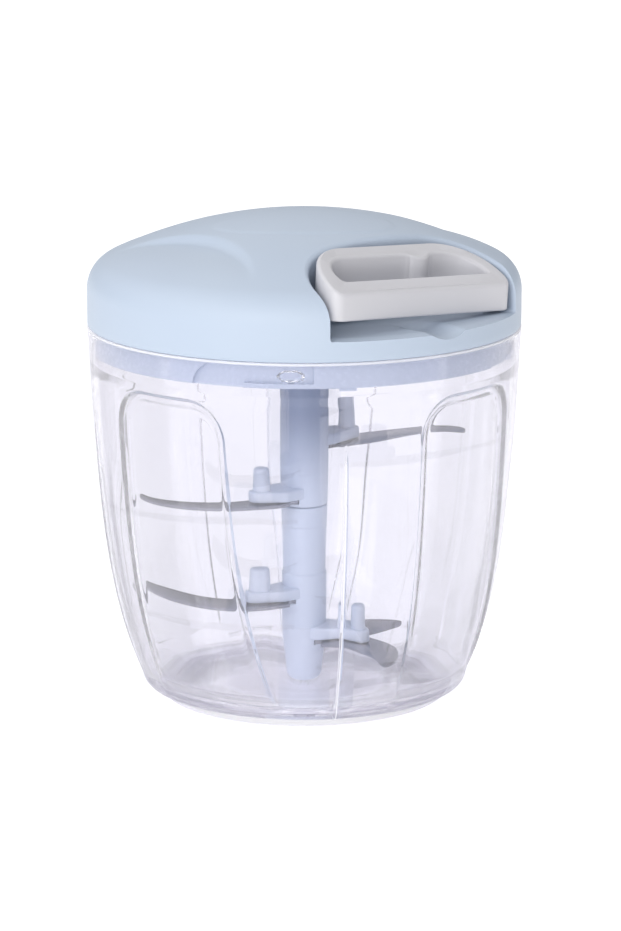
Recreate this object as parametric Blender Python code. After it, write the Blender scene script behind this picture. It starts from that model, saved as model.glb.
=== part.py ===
"""Pull-cord food chopper: clear bowl, twist-on domed lid, cord reel and five blades.

Lengths are metres, +Z is up and the front of the chopper looks along -Y.
Azimuths are degrees seen from above, from the front towards +X.
"""
import math

import bmesh
import bpy
from mathutils import Matrix, Vector

# General fits
GAP = 0.0003                 # between pieces that rest on or run beside each other
ROUND = 48                   # sides of the bowl and the lid
INNER_ROUND = 40             # sides of the rings and walls that lie inside them
SMALL_ROUND = 28             # sides of hubs, flanges and other small turned pieces

# Bowl
BOWL_RIM_RADIUS = 0.0632
BOWL_RIM_TOP = 0.1104
BOWL_RIM_WALL = 0.0024
BOWL_WALL = 0.0023
BOWL_DRAFT = 0.05            # metres of radius lost per metre down the wall
BOWL_FLARE = 0.01293         # how far the foot tucks in below the straight wall
BOWL_FLARE_POWER = 4.107
BOWL_UNDERSIDE = 0.0032
BOWL_FLOOR_THICKNESS = 0.0022
BOWL_FOOT_FILLET = 0.0036
RIM_LAND = 0.0100            # straight inside stretch that takes the lid's skirt
RIM_INNER_RADIUS = BOWL_RIM_RADIUS - BOWL_RIM_WALL
PANEL_COUNT = 4
CREASE_AZIMUTH = 11.0        # front crease line between two flats
CREASE_DROP = 0.0304         # the flats fade into the round wall this far below the rim
ARCH_DROP = 0.0134           # top of the pressed arches, below the rim
ARCH_FOOT = 0.0053           # bottom of the arches, above the bowl's underside
ARCH_DEPTH = 0.0008
ARCH_SPAN = 45.0             # degrees of wall between two pairs of flats
ARCH_MARGIN = 0.6            # degrees of plain wall left beside an arch
ARCH_CORNER = 0.0150

# Foot rib, base ring and pivot
FOOT_RIB_INSET = 0.0095      # from the wall's foot in to the rib that the base ring grips
FOOT_RIB_THICKNESS = 0.0026
FOOT_RIB_DEPTH = 0.0017
BASE_RING_FLANGE = 0.0050    # how far the base ring stands out past the rib
BASE_RING_UNDERCUT = 0.0039  # how far its foot is drawn in below the flange
BASE_RING_INSIDE = 0.0020    # thickness of its wall inside the rib
BASE_RING_CHAMFER = 0.0006
PIVOT_RADIUS = 0.0018
PIVOT_LENGTH = 0.0148
PIVOT_SOLE = 0.0010          # floor left under the pivot pin
PIVOT_BOSS_RADIUS = 0.0062
PIVOT_BOSS_RISE = 0.0004

# Inner cover, its bayonet, seal and screws
COVER_CLEARANCE = 0.0004     # between the cover's skirt and the bowl's rim
COVER_RADIUS = RIM_INNER_RADIUS - COVER_CLEARANCE
COVER_SKIRT = 0.0024
COVER_DEPTH = 0.0075         # how far the skirt reaches down from the rim's top
COVER_BOTTOM = BOWL_RIM_TOP - COVER_DEPTH
COVER_RECESS = 0.0030        # from the skirt's edge up to the plate
COVER_PLATE_BOTTOM = COVER_BOTTOM + COVER_RECESS
COVER_PLATE = 0.0018
COVER_PLUG_STEP = 0.0006     # the plug above the skirt is this much smaller
COVER_PLUG_HEIGHT = 0.0032   # how far the plug stands above the bowl's rim
COVER_TAB_WIDTH = 0.0048
COVER_TAB_DROP = 0.0008
COVER_TAB_AZIMUTH = 11.6
BAYONET_COUNT = 4
LUG_AZIMUTH = -3.5
LUG_WIDTH = 0.0082
LUG_HEIGHT = 0.0036
LUG_DROP = 0.0039            # from the rim's top to the middle of a lug
LUG_REACH = 0.0012           # how far a lug stands in from the rim
LUG_CENTRE_Z = BOWL_RIM_TOP - LUG_DROP
SLOT_FLOOR_GAP = 0.0004
SLOT_STOP_AZIMUTH = 2.5
SLOT_ENTRY_AZIMUTH = -30.6
SLOT_LEAD = 8.6              # degrees over which the lead-in climbs
RAIL_START_AZIMUTH = -16.0
RAIL_TOP_GAP = 0.0004
SLOT_TOP_GAP = 0.0017
SEAL_HEIGHT = 0.0026
SCREW_TURNS = (0.0, 100.0, 180.0, 260.0)   # from the pull direction
SCREW_INSET = 0.0104         # from the cover's edge in to the screws
SCREW_CIRCLE = COVER_RADIUS - SCREW_INSET
SCREW_BOSS_RADIUS = 0.0034
SCREW_RADIUS = 0.00125
SCREW_HEAD_RADIUS = 0.0028
SCREW_HEAD = 0.0015
SCREW_LENGTH = 0.0064

# Lid shell
LID_OVERHANG = -0.0002       # lid's radius against the bowl's rim
LID_RADIUS = BOWL_RIM_RADIUS + LID_OVERHANG
LID_EDGE_GAP = 0.0005
LID_EDGE = BOWL_RIM_TOP + LID_EDGE_GAP
CROWN_RADIUS = 0.1320
SHOULDER_RADIUS = 0.0100
LID_WALL = 0.0022
SEAL_LIP = 0.0010            # thin outer lip of the shell beside the seal
SCALLOP_TURNS = (-91.0, 180.0, 89.0)   # grip scallops, from the pull direction
SCALLOP_INSET = 0.0308       # from the lid's edge in to the start of a scallop
SCALLOP_RADIUS = 0.0560
SCALLOP_DEPTH = 0.0021
SCALLOP_STEP = 0.0042        # width of the soft step at its edge
SCALLOP_FADE = 0.0070        # a scallop runs out this far in from the lid's edge
SCALLOP_START = LID_RADIUS - SCALLOP_INSET

# Pocket in the lid that holds the handle
PULL_AZIMUTH = 40.0
POCKET_DEPTH = 0.0318        # from the lid's edge in to the pocket's back wall
POCKET_BACK = LID_RADIUS - POCKET_DEPTH
POCKET_SIDE = 0.0288         # how much narrower than the lid the pocket is, each side
POCKET_HALF_WIDTH = LID_RADIUS - POCKET_SIDE
POCKET_CORNER = 0.0180
POCKET_RISE = 0.0059         # from the lid's edge up to the pocket's floor
POCKET_FLOOR = LID_EDGE + POCKET_RISE
POCKET_WALL = 0.0020
SCOOP_RADIUS = 0.0120
SCOOP_DEPTH = 0.0018
SCOOP_LENGTH = 0.0190

# Cord, reel and recoil spring
CORD_RADIUS = 0.0009
CORD_OFFSET = 0.0100         # the cord leaves the reel this far from the axis
CORD_TURNS = 5
CORD_PITCH = 0.00230
CORD_RISE = 0.0054           # cord's centre line above the pocket's floor
CORD_HEIGHT = POCKET_FLOOR + CORD_RISE
CORD_HOLE_GAP = 0.00045
KNOT_RADIUS = 0.0019
REEL_CLEARANCE = 0.0032      # between the reel's cup and the pocket's back wall
REEL_RADIUS = POCKET_BACK - POCKET_WALL - REEL_CLEARANCE
REEL_WALL = 0.0016
REEL_FLANGE_STEP = 0.0020    # the top flange stands out past the cord by this
REEL_FLANGE = 0.0015
DOME_HEADROOM = 0.0066       # from the reel's flange to the top of the dome
POST_RADIUS = 0.0030
SPRING_TURNS = 6
SPRING_STRIP = 0.0004
SPRING_HEADROOM = 0.0020
GUIDE_WALL = 0.0009
GUIDE_FLANGE_STEP = 0.0012
GUIDE_FLANGE = 0.0008
WINDING_TOP = CORD_HEIGHT + CORD_PITCH * CORD_TURNS + CORD_RADIUS
LID_TOP = WINDING_TOP + GAP + REEL_FLANGE + DOME_HEADROOM

# Handle
HANDLE_SIDE_GAP = 0.0013
HANDLE_BACK_GAP = 0.0016
HANDLE_INSET = 0.0100        # from the lid's edge in to the handle's front
HANDLE_FRONT = LID_RADIUS - HANDLE_INSET
HANDLE_FRONT_CORNER = 0.0030
HANDLE_FLOOR_GAP = 0.0021
HANDLE_BOTTOM = POCKET_FLOOR + HANDLE_FLOOR_GAP
HANDLE_DROP = 0.0066         # its top at the back edge, below the top of the dome
HANDLE_TOP_SLOPE = 0.345     # how steeply its top starts down towards the front
HANDLE_TOP_BEND = 0.12       # and how much it has bent down there, as a share of its depth
HANDLE_BACK_WALL = 0.0046
HANDLE_SIDE_WALL = 0.0058
HANDLE_BAR = 0.0043
HANDLE_INNER_CORNER = 0.0094
HANDLE_EDGE = 0.0011
HANDLE_ROLL = -3.8           # degrees, the left end hangs a little high
KNOT_WALL = 0.0013           # handle left behind the knot
KNOT_BOSS_WALL = 0.0016      # and around it
BOSS_STEPS = (1.12, 0.95, 0.8, 0.55, 0.25)

# Drive
SOCKET_RADIUS = 0.0086
SOCKET_BOSS = 0.0037         # how far the socket stands down from the cover's plate
SOCKET_BOTTOM = COVER_PLATE_BOTTOM - SOCKET_BOSS
SOCKET_DISC = 0.0015
HEX_ACROSS_FLATS = 0.0096
HEX_PLAY = 0.0003

# Blade hubs
UPPER_HUB_RADIUS = 0.0071
HUB_NECK = 0.0014            # the hexagon shows this much between hub and socket
UPPER_HUB_TOP = SOCKET_BOTTOM - HUB_NECK
HUB_JOINT_DROP = 0.0020      # the hubs meet this far below the second blade
HUB_STEP_DROP = 0.0206       # and the lower one widens this far below the joint
LOWER_HUB_RADIUS = 0.0075
SPIGOT_RADIUS = 0.0042
SPIGOT_HEIGHT = 0.0050
WING_THICKNESS = 0.0032
WING_REACH = 0.0202
WING_TIP_HALF_WIDTH = 0.0020
WING_SHOULDER_REACH = 0.0112
WING_SHOULDER_WIDTH = 0.0058
WING_TRAILING_REACH = 0.0072
WING_TRAILING_WIDTH = 0.0056
WING_CHAMFER = 0.0012
PEG_DISTANCE = 0.0163
PEG_RADIUS = 0.0025
PEG_HEIGHT = 0.0068
RIVET_RADIUS = 0.0014
RIVET_DROP = 0.0008

# Blades
BLADE_SHEET = 0.0010
BLADE_TAB_HALF_WIDTH = 0.0040
BLADE_TAB_START = 0.0030
BLADE_CURVE_START = 0.0120
BLADE_INSET = 0.0355        # radius of a blade's curve, less than the rim's inside
BLADE_CURVE_RADIUS = RIM_INNER_RADIUS - BLADE_INSET
BLADE_BEVEL = 0.0024
BLADE_EDGE = 0.0002
BLADE_POINT = 0.0003
UPPER_BLADE_WIDTH = 0.0105
LOWER_BLADE_WIDTH = 0.0135
BLADE_1_HEIGHT = 0.0732
BLADE_2_HEIGHT = 0.0588
BLADE_3_HEIGHT = 0.0284
BLADE_4_HEIGHT = 0.0171
BLADE_5_HEIGHT = 0.0109
BLADE_1_RISE = 0.0044
BLADE_3_RISE = 0.0030
HUB_JOINT = BLADE_2_HEIGHT - HUB_JOINT_DROP
HUB_STEP = HUB_JOINT - HUB_STEP_DROP

# Azimuth of the wing, height of the blade's middle, width, sweep in degrees, rise
BLADE_1 = (130.0, BLADE_1_HEIGHT, UPPER_BLADE_WIDTH, 98.0, BLADE_1_RISE)
BLADE_2 = (-50.0, BLADE_2_HEIGHT, UPPER_BLADE_WIDTH, 102.0, 0.0)
BLADE_3 = (-57.0, BLADE_3_HEIGHT, LOWER_BLADE_WIDTH, 98.0, BLADE_3_RISE)
BLADE_4 = (63.0, BLADE_4_HEIGHT, LOWER_BLADE_WIDTH, 80.0, 0.0)
BLADE_5 = (174.0, BLADE_5_HEIGHT, LOWER_BLADE_WIDTH, 96.0, 0.0)

PULL_FRAME = Matrix.Rotation(math.radians(PULL_AZIMUTH - 90.0), 4, "Z")


def clear_scene():
    for obj in list(bpy.data.objects):
        bpy.data.objects.remove(obj, do_unlink=True)


def make_material(name, colour, roughness, metallic=0.0, alpha=1.0):
    material = bpy.data.materials.new(name)
    material.use_nodes = True
    shader = material.node_tree.nodes["Principled BSDF"]
    shader.inputs["Base Color"].default_value = (*colour, 1.0)
    shader.inputs["Roughness"].default_value = roughness
    shader.inputs["Metallic"].default_value = metallic
    shader.inputs["Alpha"].default_value = alpha
    material.diffuse_color = (*colour, alpha)
    return material


def around(radius, azimuth, z):
    """The point at a radius and an azimuth, which runs from the front towards +X."""
    angle = math.radians(azimuth)
    return Vector((radius * math.sin(angle), -radius * math.cos(angle), z))


def make_object(name, bm, material=None):
    """Closes a bmesh into an object with its faces pointing out and round parts smooth."""
    bmesh.ops.recalc_face_normals(bm, faces=bm.faces)
    mesh = bpy.data.meshes.new(name)
    bm.to_mesh(mesh)
    bm.free()
    obj = bpy.data.objects.new(name, mesh)
    bpy.context.scene.collection.objects.link(obj)
    if material is not None:
        mesh.materials.append(material)
    shade(obj)
    return obj


def shade(obj):
    obj.data.shade_smooth()
    obj.data.set_sharp_from_angle(angle=math.radians(32.0))


def loft(name, rings, material=None, joined=False):
    """Skins rings of points; a ring of one point is a tip, joined closes last to first."""
    bm = bmesh.new()
    loops = [[bm.verts.new(point) for point in ring] for ring in rings]
    pairs = list(zip(loops, loops[1:]))
    if joined:
        pairs.append((loops[-1], loops[0]))
    for lower, upper in pairs:
        count = max(len(lower), len(upper))
        for i in range(count):
            j = (i + 1) % count
            if len(lower) == 1:
                bm.faces.new((lower[0], upper[j], upper[i]))
            elif len(upper) == 1:
                bm.faces.new((lower[i], lower[j], upper[0]))
            else:
                bm.faces.new((lower[i], lower[j], upper[j], upper[i]))
    if not joined:
        for end in (loops[0], loops[-1]):
            if len(end) > 2:
                bm.faces.new(end)
    return make_object(name, bm, material)


def turned(name, profile, material=None, sides=SMALL_ROUND, joined=False):
    """Spins (radius, height) points round Z; a radius of 0 is a point on the axis."""
    rings = []
    for radius, z in profile:
        if radius == 0.0:
            rings.append([Vector((0.0, 0.0, z))])
        else:
            rings.append([around(radius, 360.0 * i / sides, z) for i in range(sides)])
    return loft(name, rings, material, joined)


def prism(name, outline, bottom, top, material=None):
    """Raises an (x, y) outline from bottom to top; each is a height or a function."""
    low = bottom if callable(bottom) else (lambda x, y: bottom)
    high = top if callable(top) else (lambda x, y: top)
    rings = [[Vector((x, y, low(x, y))) for x, y in outline],
             [Vector((x, y, high(x, y))) for x, y in outline]]
    return loft(name, rings, material)


def wrapped(name, outline, inner, outer):
    """Wraps a small (azimuth, height) outline round Z as a pad between two radii."""
    rings = [[around(radius, azimuth, z) for azimuth, z in outline] for radius in (inner, outer)]
    return loft(name, rings)


def band(name, columns, inner, outer):
    """Runs round Z through (azimuth, low, high) columns, between two radii."""
    rings = []
    for azimuth, low, high in columns:
        rings.append([around(inner, azimuth, low), around(outer, azimuth, low),
                      around(outer, azimuth, high), around(inner, azimuth, high)])
    return loft(name, rings)


def rod(name, start, end, radius, material=None, sides=12):
    """A cylinder between two points."""
    axis = (end - start).normalized()
    side = axis.orthogonal().normalized()
    other = axis.cross(side)
    rings = []
    for centre in (start, end):
        ring = []
        for i in range(sides):
            turn = 2.0 * math.pi * i / sides
            ring.append(centre + radius * (math.cos(turn) * side + math.sin(turn) * other))
        rings.append(ring)
    return loft(name, rings, material)


def combine(target, tool, operation):
    """Applies a Boolean of the tool to the target and removes the tool."""
    modifier = target.modifiers.new("cut", "BOOLEAN")
    modifier.operation = operation
    modifier.solver = "EXACT"
    modifier.object = tool
    bake(target)
    bpy.data.objects.remove(tool, do_unlink=True)


def cut(target, *tools):
    for tool in tools:
        combine(target, tool, "DIFFERENCE")


def fuse(target, *tools):
    for tool in tools:
        combine(target, tool, "UNION")


def gathered(forms):
    """Several forms that stand apart, as one object for a single cut or join."""
    bm = bmesh.new()
    for form in forms:
        bm.from_mesh(form.data)
        bpy.data.objects.remove(form, do_unlink=True)
    return make_object("gathered", bm)


def bake(obj):
    """Turns the evaluated modifiers of an object into its mesh."""
    graph = bpy.context.evaluated_depsgraph_get()
    mesh = bpy.data.meshes.new_from_object(obj.evaluated_get(graph))
    old = obj.data
    obj.modifiers.clear()
    obj.data = mesh
    bpy.data.meshes.remove(old)
    shade(obj)


def move(obj, matrix):
    """Moves the mesh of a form that is about to be cut from a piece or joined to it."""
    obj.data.transform(matrix)
    return obj


def place(obj, matrix):
    """Sets where a finished piece sits on its body."""
    obj.matrix_basis = matrix
    return obj


def at_cord(x):
    """A place on the cord's line, in the frame whose +X is the pull."""
    return Matrix.Translation((x, CORD_OFFSET, CORD_HEIGHT))


def arc(centre, radius, start, end, count):
    """Points on a circle arc in a plane, with angles in degrees."""
    points = []
    for i in range(count):
        angle = math.radians(start + (end - start) * i / (count - 1))
        points.append((centre[0] + radius * math.cos(angle), centre[1] + radius * math.sin(angle)))
    return points


def d_outline(back, front, half_width, corner, front_corner=0.0, steps=8, spine=()):
    """A D in plan: broad round corners at the back, extra points on it, a straight front."""
    points = arc((back + corner, half_width - corner), corner, 90.0, 180.0, steps)
    points += [(back, side) for side in spine]
    points += arc((back + corner, corner - half_width), corner, 180.0, 270.0, steps)
    if front_corner > 0.0:
        points += arc((front - front_corner, front_corner - half_width), front_corner, 270.0, 360.0, 4)
        points += arc((front - front_corner, half_width - front_corner), front_corner, 0.0, 90.0, 4)
    else:
        points += [(front, -half_width), (front, half_width)]
    return points


def smooth_step(value):
    value = min(1.0, max(0.0, value))
    return value * value * (3.0 - 2.0 * value)


# Bowl

def bowl_radius(z):
    """Outside radius of the round bowl wall at a height."""
    depth = BOWL_RIM_TOP - z
    tuck = BOWL_FLARE * (depth / BOWL_RIM_TOP) ** BOWL_FLARE_POWER
    return BOWL_RIM_RADIUS - BOWL_DRAFT * depth - tuck


def facet_scale(azimuth, z):
    """Shrink of the round wall on the two flats beside each crease."""
    period = 360.0 / PANEL_COUNT
    flat = (period - ARCH_SPAN) / 2.0
    offset = (azimuth - CREASE_AZIMUTH + period / 2.0) % period - period / 2.0
    if abs(offset) > flat:
        return 1.0
    chord = math.cos(math.radians(flat / 2.0)) / math.cos(math.radians(abs(offset) - flat / 2.0))
    crease_top = BOWL_RIM_TOP - CREASE_DROP
    fade = smooth_step((crease_top - z) / (crease_top * 0.5))
    return 1.0 + (chord - 1.0) * fade


def bowl_wall_ring(z):
    ring = []
    for i in range(ROUND):
        azimuth = CREASE_AZIMUTH + 360.0 * i / ROUND
        ring.append(around(bowl_radius(z) * facet_scale(azimuth, z), azimuth, z))
    return ring


def plain_ring(radius, z):
    return [around(radius, CREASE_AZIMUTH + 360.0 * i / ROUND, z) for i in range(ROUND)]


def arch_height(offset):
    """Top of the arch at an angle from its middle: flat, with broad round corners."""
    top = BOWL_RIM_TOP - ARCH_DROP
    half = ARCH_SPAN / 2.0 - ARCH_MARGIN
    corner = math.degrees(ARCH_CORNER / bowl_radius(top))
    inside = max(0.0, abs(offset) - (half - corner)) / corner
    return top - ARCH_CORNER * (1.0 - math.sqrt(max(0.0, 1.0 - min(1.0, inside) ** 2)))


def arch_cutter(azimuth):
    """Solid that presses one arch into the wall, column by column along the wall."""
    rings = []
    half = ARCH_SPAN / 2.0 - ARCH_MARGIN
    bottom = BOWL_UNDERSIDE + ARCH_FOOT
    for part in (-1.0, -0.94, -0.8, -0.6, -0.35, 0.35, 0.6, 0.8, 0.94, 1.0):
        offset = part * half
        top = arch_height(offset)
        heights = [bottom + (top - bottom) * step for step in (0.0, 0.12, 0.28, 0.55, 1.0)]
        turn = azimuth + offset
        ring = [around(bowl_radius(z) - ARCH_DEPTH, turn, z) for z in heights]
        ring += [around(bowl_radius(z) + ARCH_DEPTH * 2.0, turn, z) for z in reversed(heights)]
        rings.append(ring)
    return loft("arch", rings)


def make_bowl(material):
    floor = BOWL_UNDERSIDE + BOWL_FLOOR_THICKNESS
    wall_bottom = BOWL_UNDERSIDE + BOWL_FOOT_FILLET
    foot_radius = bowl_radius(wall_bottom)
    rib_bottom = BOWL_UNDERSIDE - FOOT_RIB_DEPTH
    rib_inner = rib_radius() - FOOT_RIB_THICKNESS
    rings = [plain_ring(rib_inner, BOWL_UNDERSIDE), plain_ring(rib_inner, rib_bottom),
             plain_ring(rib_radius(), rib_bottom), plain_ring(rib_radius(), BOWL_UNDERSIDE),
             plain_ring(foot_radius - 1.5 * BOWL_FOOT_FILLET, BOWL_UNDERSIDE)]
    for radius, z in arc((foot_radius - BOWL_FOOT_FILLET, wall_bottom), BOWL_FOOT_FILLET, -90.0, -25.0, 4):
        rings.append(plain_ring(radius, z))
    heights = [wall_bottom + (BOWL_RIM_TOP - wall_bottom) * (i / 10.0) ** 1.25 for i in range(11)]
    rings += [bowl_wall_ring(z) for z in heights]
    land_bottom = BOWL_RIM_TOP - RIM_LAND
    rings += [plain_ring(RIM_INNER_RADIUS, BOWL_RIM_TOP), plain_ring(RIM_INNER_RADIUS, land_bottom)]
    inner_heights = [land_bottom * part for part in (0.88, 0.66, 0.44, 0.26, 0.14)]
    rings += [plain_ring(inner_radius(z), z) for z in inner_heights]
    corner = inner_radius(inner_heights[-1])
    rise = inner_heights[-1] - floor
    rings.append(plain_ring(corner - 0.12 * rise, floor + rise * 0.55))
    rings.append(plain_ring(corner - 0.42 * rise, floor + rise * 0.18))
    rings.append(plain_ring(corner - 0.80 * rise, floor))
    pin_hole = PIVOT_RADIUS + GAP
    rings += [plain_ring(PIVOT_BOSS_RADIUS * 1.15, floor), plain_ring(PIVOT_BOSS_RADIUS, boss_top()),
              plain_ring(pin_hole, boss_top()), plain_ring(pin_hole, pivot_foot() - GAP)]
    bowl = loft("bowl", rings, material)
    turns = [(i + 0.5) * 360.0 / PANEL_COUNT for i in range(PANEL_COUNT)]
    cut(bowl, gathered([arch_cutter(CREASE_AZIMUTH + turn) for turn in turns]))
    turns = [i * 360.0 / BAYONET_COUNT for i in range(BAYONET_COUNT)]
    fuse(bowl, gathered([make_lug(LUG_AZIMUTH + turn) for turn in turns]))
    return bowl


def inner_radius(z):
    """Inside radius of the bowl below the rim's straight land."""
    return min(RIM_INNER_RADIUS, bowl_radius(z) - BOWL_WALL)


def make_lug(azimuth):
    """One oval bayonet lug, sunk into the rim it grows from."""
    span = math.degrees(LUG_WIDTH / 2.0 / RIM_INNER_RADIUS)
    outline = []
    for i in range(16):
        turn = 2.0 * math.pi * i / 16
        outline.append((azimuth + span * math.cos(turn), LUG_CENTRE_Z + LUG_HEIGHT / 2.0 * math.sin(turn)))
    return wrapped("lug", outline, RIM_INNER_RADIUS - LUG_REACH, RIM_INNER_RADIUS + LUG_REACH)


def rib_radius():
    """Outside radius of the rib under the bowl."""
    return bowl_radius(BOWL_UNDERSIDE + BOWL_FOOT_FILLET) - FOOT_RIB_INSET


def boss_top():
    return BOWL_UNDERSIDE + BOWL_FLOOR_THICKNESS + PIVOT_BOSS_RISE


def pivot_foot():
    """Height of the pivot pin's lower end, inside the boss in the bowl's floor."""
    return BOWL_UNDERSIDE + PIVOT_SOLE


def pivot_top():
    return pivot_foot() + PIVOT_LENGTH


def make_base_ring(material):
    height = BOWL_UNDERSIDE - GAP
    groove_inner = rib_radius() - FOOT_RIB_THICKNESS - GAP
    groove_outer = rib_radius() + GAP
    groove_floor = BOWL_UNDERSIDE - FOOT_RIB_DEPTH - GAP
    bore = groove_inner - BASE_RING_INSIDE
    flange = rib_radius() + BASE_RING_FLANGE
    foot = flange - BASE_RING_UNDERCUT
    profile = [(bore, 0.0), (foot, 0.0),
               (foot + 4.0 * BASE_RING_CHAMFER, BASE_RING_CHAMFER), (flange, height),
               (groove_outer, height), (groove_outer, groove_floor), (groove_inner, groove_floor),
               (groove_inner, height), (bore, height)]
    return turned("base_ring", profile, material, INNER_ROUND, joined=True)


def make_pivot_pin(material):
    profile = [(0.0, pivot_foot()), (PIVOT_RADIUS, pivot_foot()),
               (PIVOT_RADIUS, pivot_top() - PIVOT_RADIUS / 2.0),
               (PIVOT_RADIUS / 2.0, pivot_top()), (0.0, pivot_top())]
    return turned("pivot_pin", profile, material, 16)


# Lid

def crown_height(radius):
    """Height of the plain domed lid at a radius: crown, then a tangent shoulder."""
    crown_centre = LID_TOP - CROWN_RADIUS
    shoulder_centre_radius = LID_RADIUS - SHOULDER_RADIUS
    shoulder_rise = math.sqrt((CROWN_RADIUS - SHOULDER_RADIUS) ** 2 - shoulder_centre_radius ** 2)
    shoulder_centre = crown_centre + shoulder_rise
    tangent = CROWN_RADIUS * shoulder_centre_radius / (CROWN_RADIUS - SHOULDER_RADIUS)
    if radius <= tangent:
        return crown_centre + math.sqrt(CROWN_RADIUS ** 2 - radius ** 2)
    reach = min(SHOULDER_RADIUS, radius - shoulder_centre_radius)
    return shoulder_centre + math.sqrt(max(0.0, SHOULDER_RADIUS ** 2 - reach ** 2))


def scallop_drop(point):
    """How far the grip scallops lower the dome at a point."""
    radius = math.hypot(point.x, point.y)
    drop = 0.0
    for turn in SCALLOP_TURNS:
        centre = around(SCALLOP_START + SCALLOP_RADIUS, PULL_AZIMUTH + turn, 0.0)
        inside = SCALLOP_RADIUS - math.hypot(point.x - centre.x, point.y - centre.y)
        step = smooth_step(inside / SCALLOP_STEP)
        fade = 1.0 - smooth_step((radius - SCALLOP_START) / (SCALLOP_INSET - SCALLOP_FADE))
        drop = max(drop, SCALLOP_DEPTH * step * fade)
    return drop


def dome_ring(radius):
    ring = []
    for i in range(ROUND):
        point = around(radius, 360.0 * i / ROUND, crown_height(radius))
        point.z -= scallop_drop(point)
        ring.append(point)
    return ring


def crown_edge():
    """Radius at which the crown runs into the shoulder."""
    return CROWN_RADIUS * (LID_RADIUS - SHOULDER_RADIUS) / (CROWN_RADIUS - SHOULDER_RADIUS)


def outer_dome():
    """The lid as one solid, from its edge to its crown."""
    shoulder = [LID_RADIUS - SHOULDER_RADIUS * (1.0 - math.sin(math.radians(a))) for a in (90, 72, 54, 38)]
    crown = [crown_edge() * step for step in (0.97, 0.87, 0.79, 0.72, 0.66, 0.605, 0.555, 0.39, 0.19)]
    rings = [[around(LID_RADIUS, 360.0 * i / ROUND, LID_EDGE) for i in range(ROUND)]]
    rings += [dome_ring(radius) for radius in shoulder + crown]
    rings.append([Vector((0.0, 0.0, LID_TOP))])
    return loft("lid_shell", rings)


def lid_cavity():
    """The space inside the lid, one wall in from the dome."""
    below = LID_EDGE - LID_WALL
    inner = LID_RADIUS - LID_WALL
    sink = LID_WALL + SCALLOP_DEPTH
    profile = [(0.0, below), (inner, below), (inner, crown_height(LID_RADIUS) - LID_WALL / 2.0)]
    for step in (0.97, 0.90, 0.81, 0.66, 0.46, 0.23):
        profile.append((inner * step, crown_height(inner * step + LID_WALL / 2.0) - sink))
    profile.append((0.0, LID_TOP - sink))
    return turned("cavity", profile, None, INNER_ROUND)


def pocket_outline(grow, front):
    return d_outline(POCKET_BACK - grow, front, POCKET_HALF_WIDTH + grow, pocket_corner() + grow, 0.0)


def screw_spots():
    return [around(SCREW_CIRCLE, PULL_AZIMUTH + turn, 0.0) for turn in SCREW_TURNS]


def upright(name, spot, bottom, top, radius, sides):
    """A vertical cylinder at a spot in plan."""
    return rod(name, Vector((spot.x, spot.y, bottom)), Vector((spot.x, spot.y, top)), radius, None, sides)


def make_lid_shell(material):
    shell = outer_dome()
    shell.data.materials.append(material)
    above = 1.1 * LID_TOP
    below = 0.9 * LID_EDGE
    centre = Vector((0.0, 0.0, 0.0))
    cavity = lid_cavity()
    housing = prism("housing", pocket_outline(POCKET_WALL, 1.2 * LID_RADIUS),
                    POCKET_FLOOR - POCKET_WALL, above)
    cut(cavity, move(housing, PULL_FRAME))
    for spot in screw_spots():
        cut(cavity, upright("boss", spot, below, above, SCREW_BOSS_RADIUS, 14))
    cut(cavity, upright("post", centre, below, above, POST_RADIUS, 20))
    cut(shell, cavity)
    boss_bottom = disc_bottom()
    for spot in screw_spots():
        top = POCKET_FLOOR - POCKET_WALL / 2.0
        fuse(shell, upright("boss", spot, boss_bottom, top, SCREW_BOSS_RADIUS, 14))
    fuse(shell, upright("post", centre, disc_top() + 2.0 * GAP, POCKET_FLOOR, POST_RADIUS, 20))
    cut(shell, move(prism("pocket", pocket_outline(0.0, 1.2 * LID_RADIUS), POCKET_FLOOR, above), PULL_FRAME))
    scoop_axis = POCKET_FLOOR + SCOOP_RADIUS - SCOOP_DEPTH
    scoop = rod("scoop", Vector((LID_RADIUS - SCOOP_LENGTH, 0.0, scoop_axis)),
                Vector((1.2 * LID_RADIUS, 0.0, scoop_axis)), SCOOP_RADIUS, None, 32)
    cut(shell, move(scoop, PULL_FRAME))
    for spot in screw_spots():
        cut(shell, upright("screw_hole", spot, below, screw_end() + GAP, SCREW_RADIUS + GAP, 10))
    cut(shell, guide_hole())
    seal_outer = LID_RADIUS - SEAL_LIP
    seal_top = BOWL_RIM_TOP + GAP + SEAL_HEIGHT + GAP
    inside = LID_RADIUS - 1.5 * LID_WALL
    groove = [(inside, below), (seal_outer, below), (seal_outer, seal_top), (inside, seal_top)]
    cut(shell, turned("groove", groove, None, INNER_ROUND, joined=True))
    return shell


def guide_radius():
    return CORD_RADIUS + CORD_HOLE_GAP + GUIDE_WALL


def guide_hole():
    """Hole for the cord guide through the back wall of the pocket."""
    start = Vector((POCKET_BACK - 2.0 * POCKET_WALL, CORD_OFFSET, CORD_HEIGHT))
    end = Vector((POCKET_BACK + POCKET_WALL, CORD_OFFSET, CORD_HEIGHT))
    return move(rod("guide_hole", start, end, guide_radius() + GAP, None, 16), PULL_FRAME)


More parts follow.
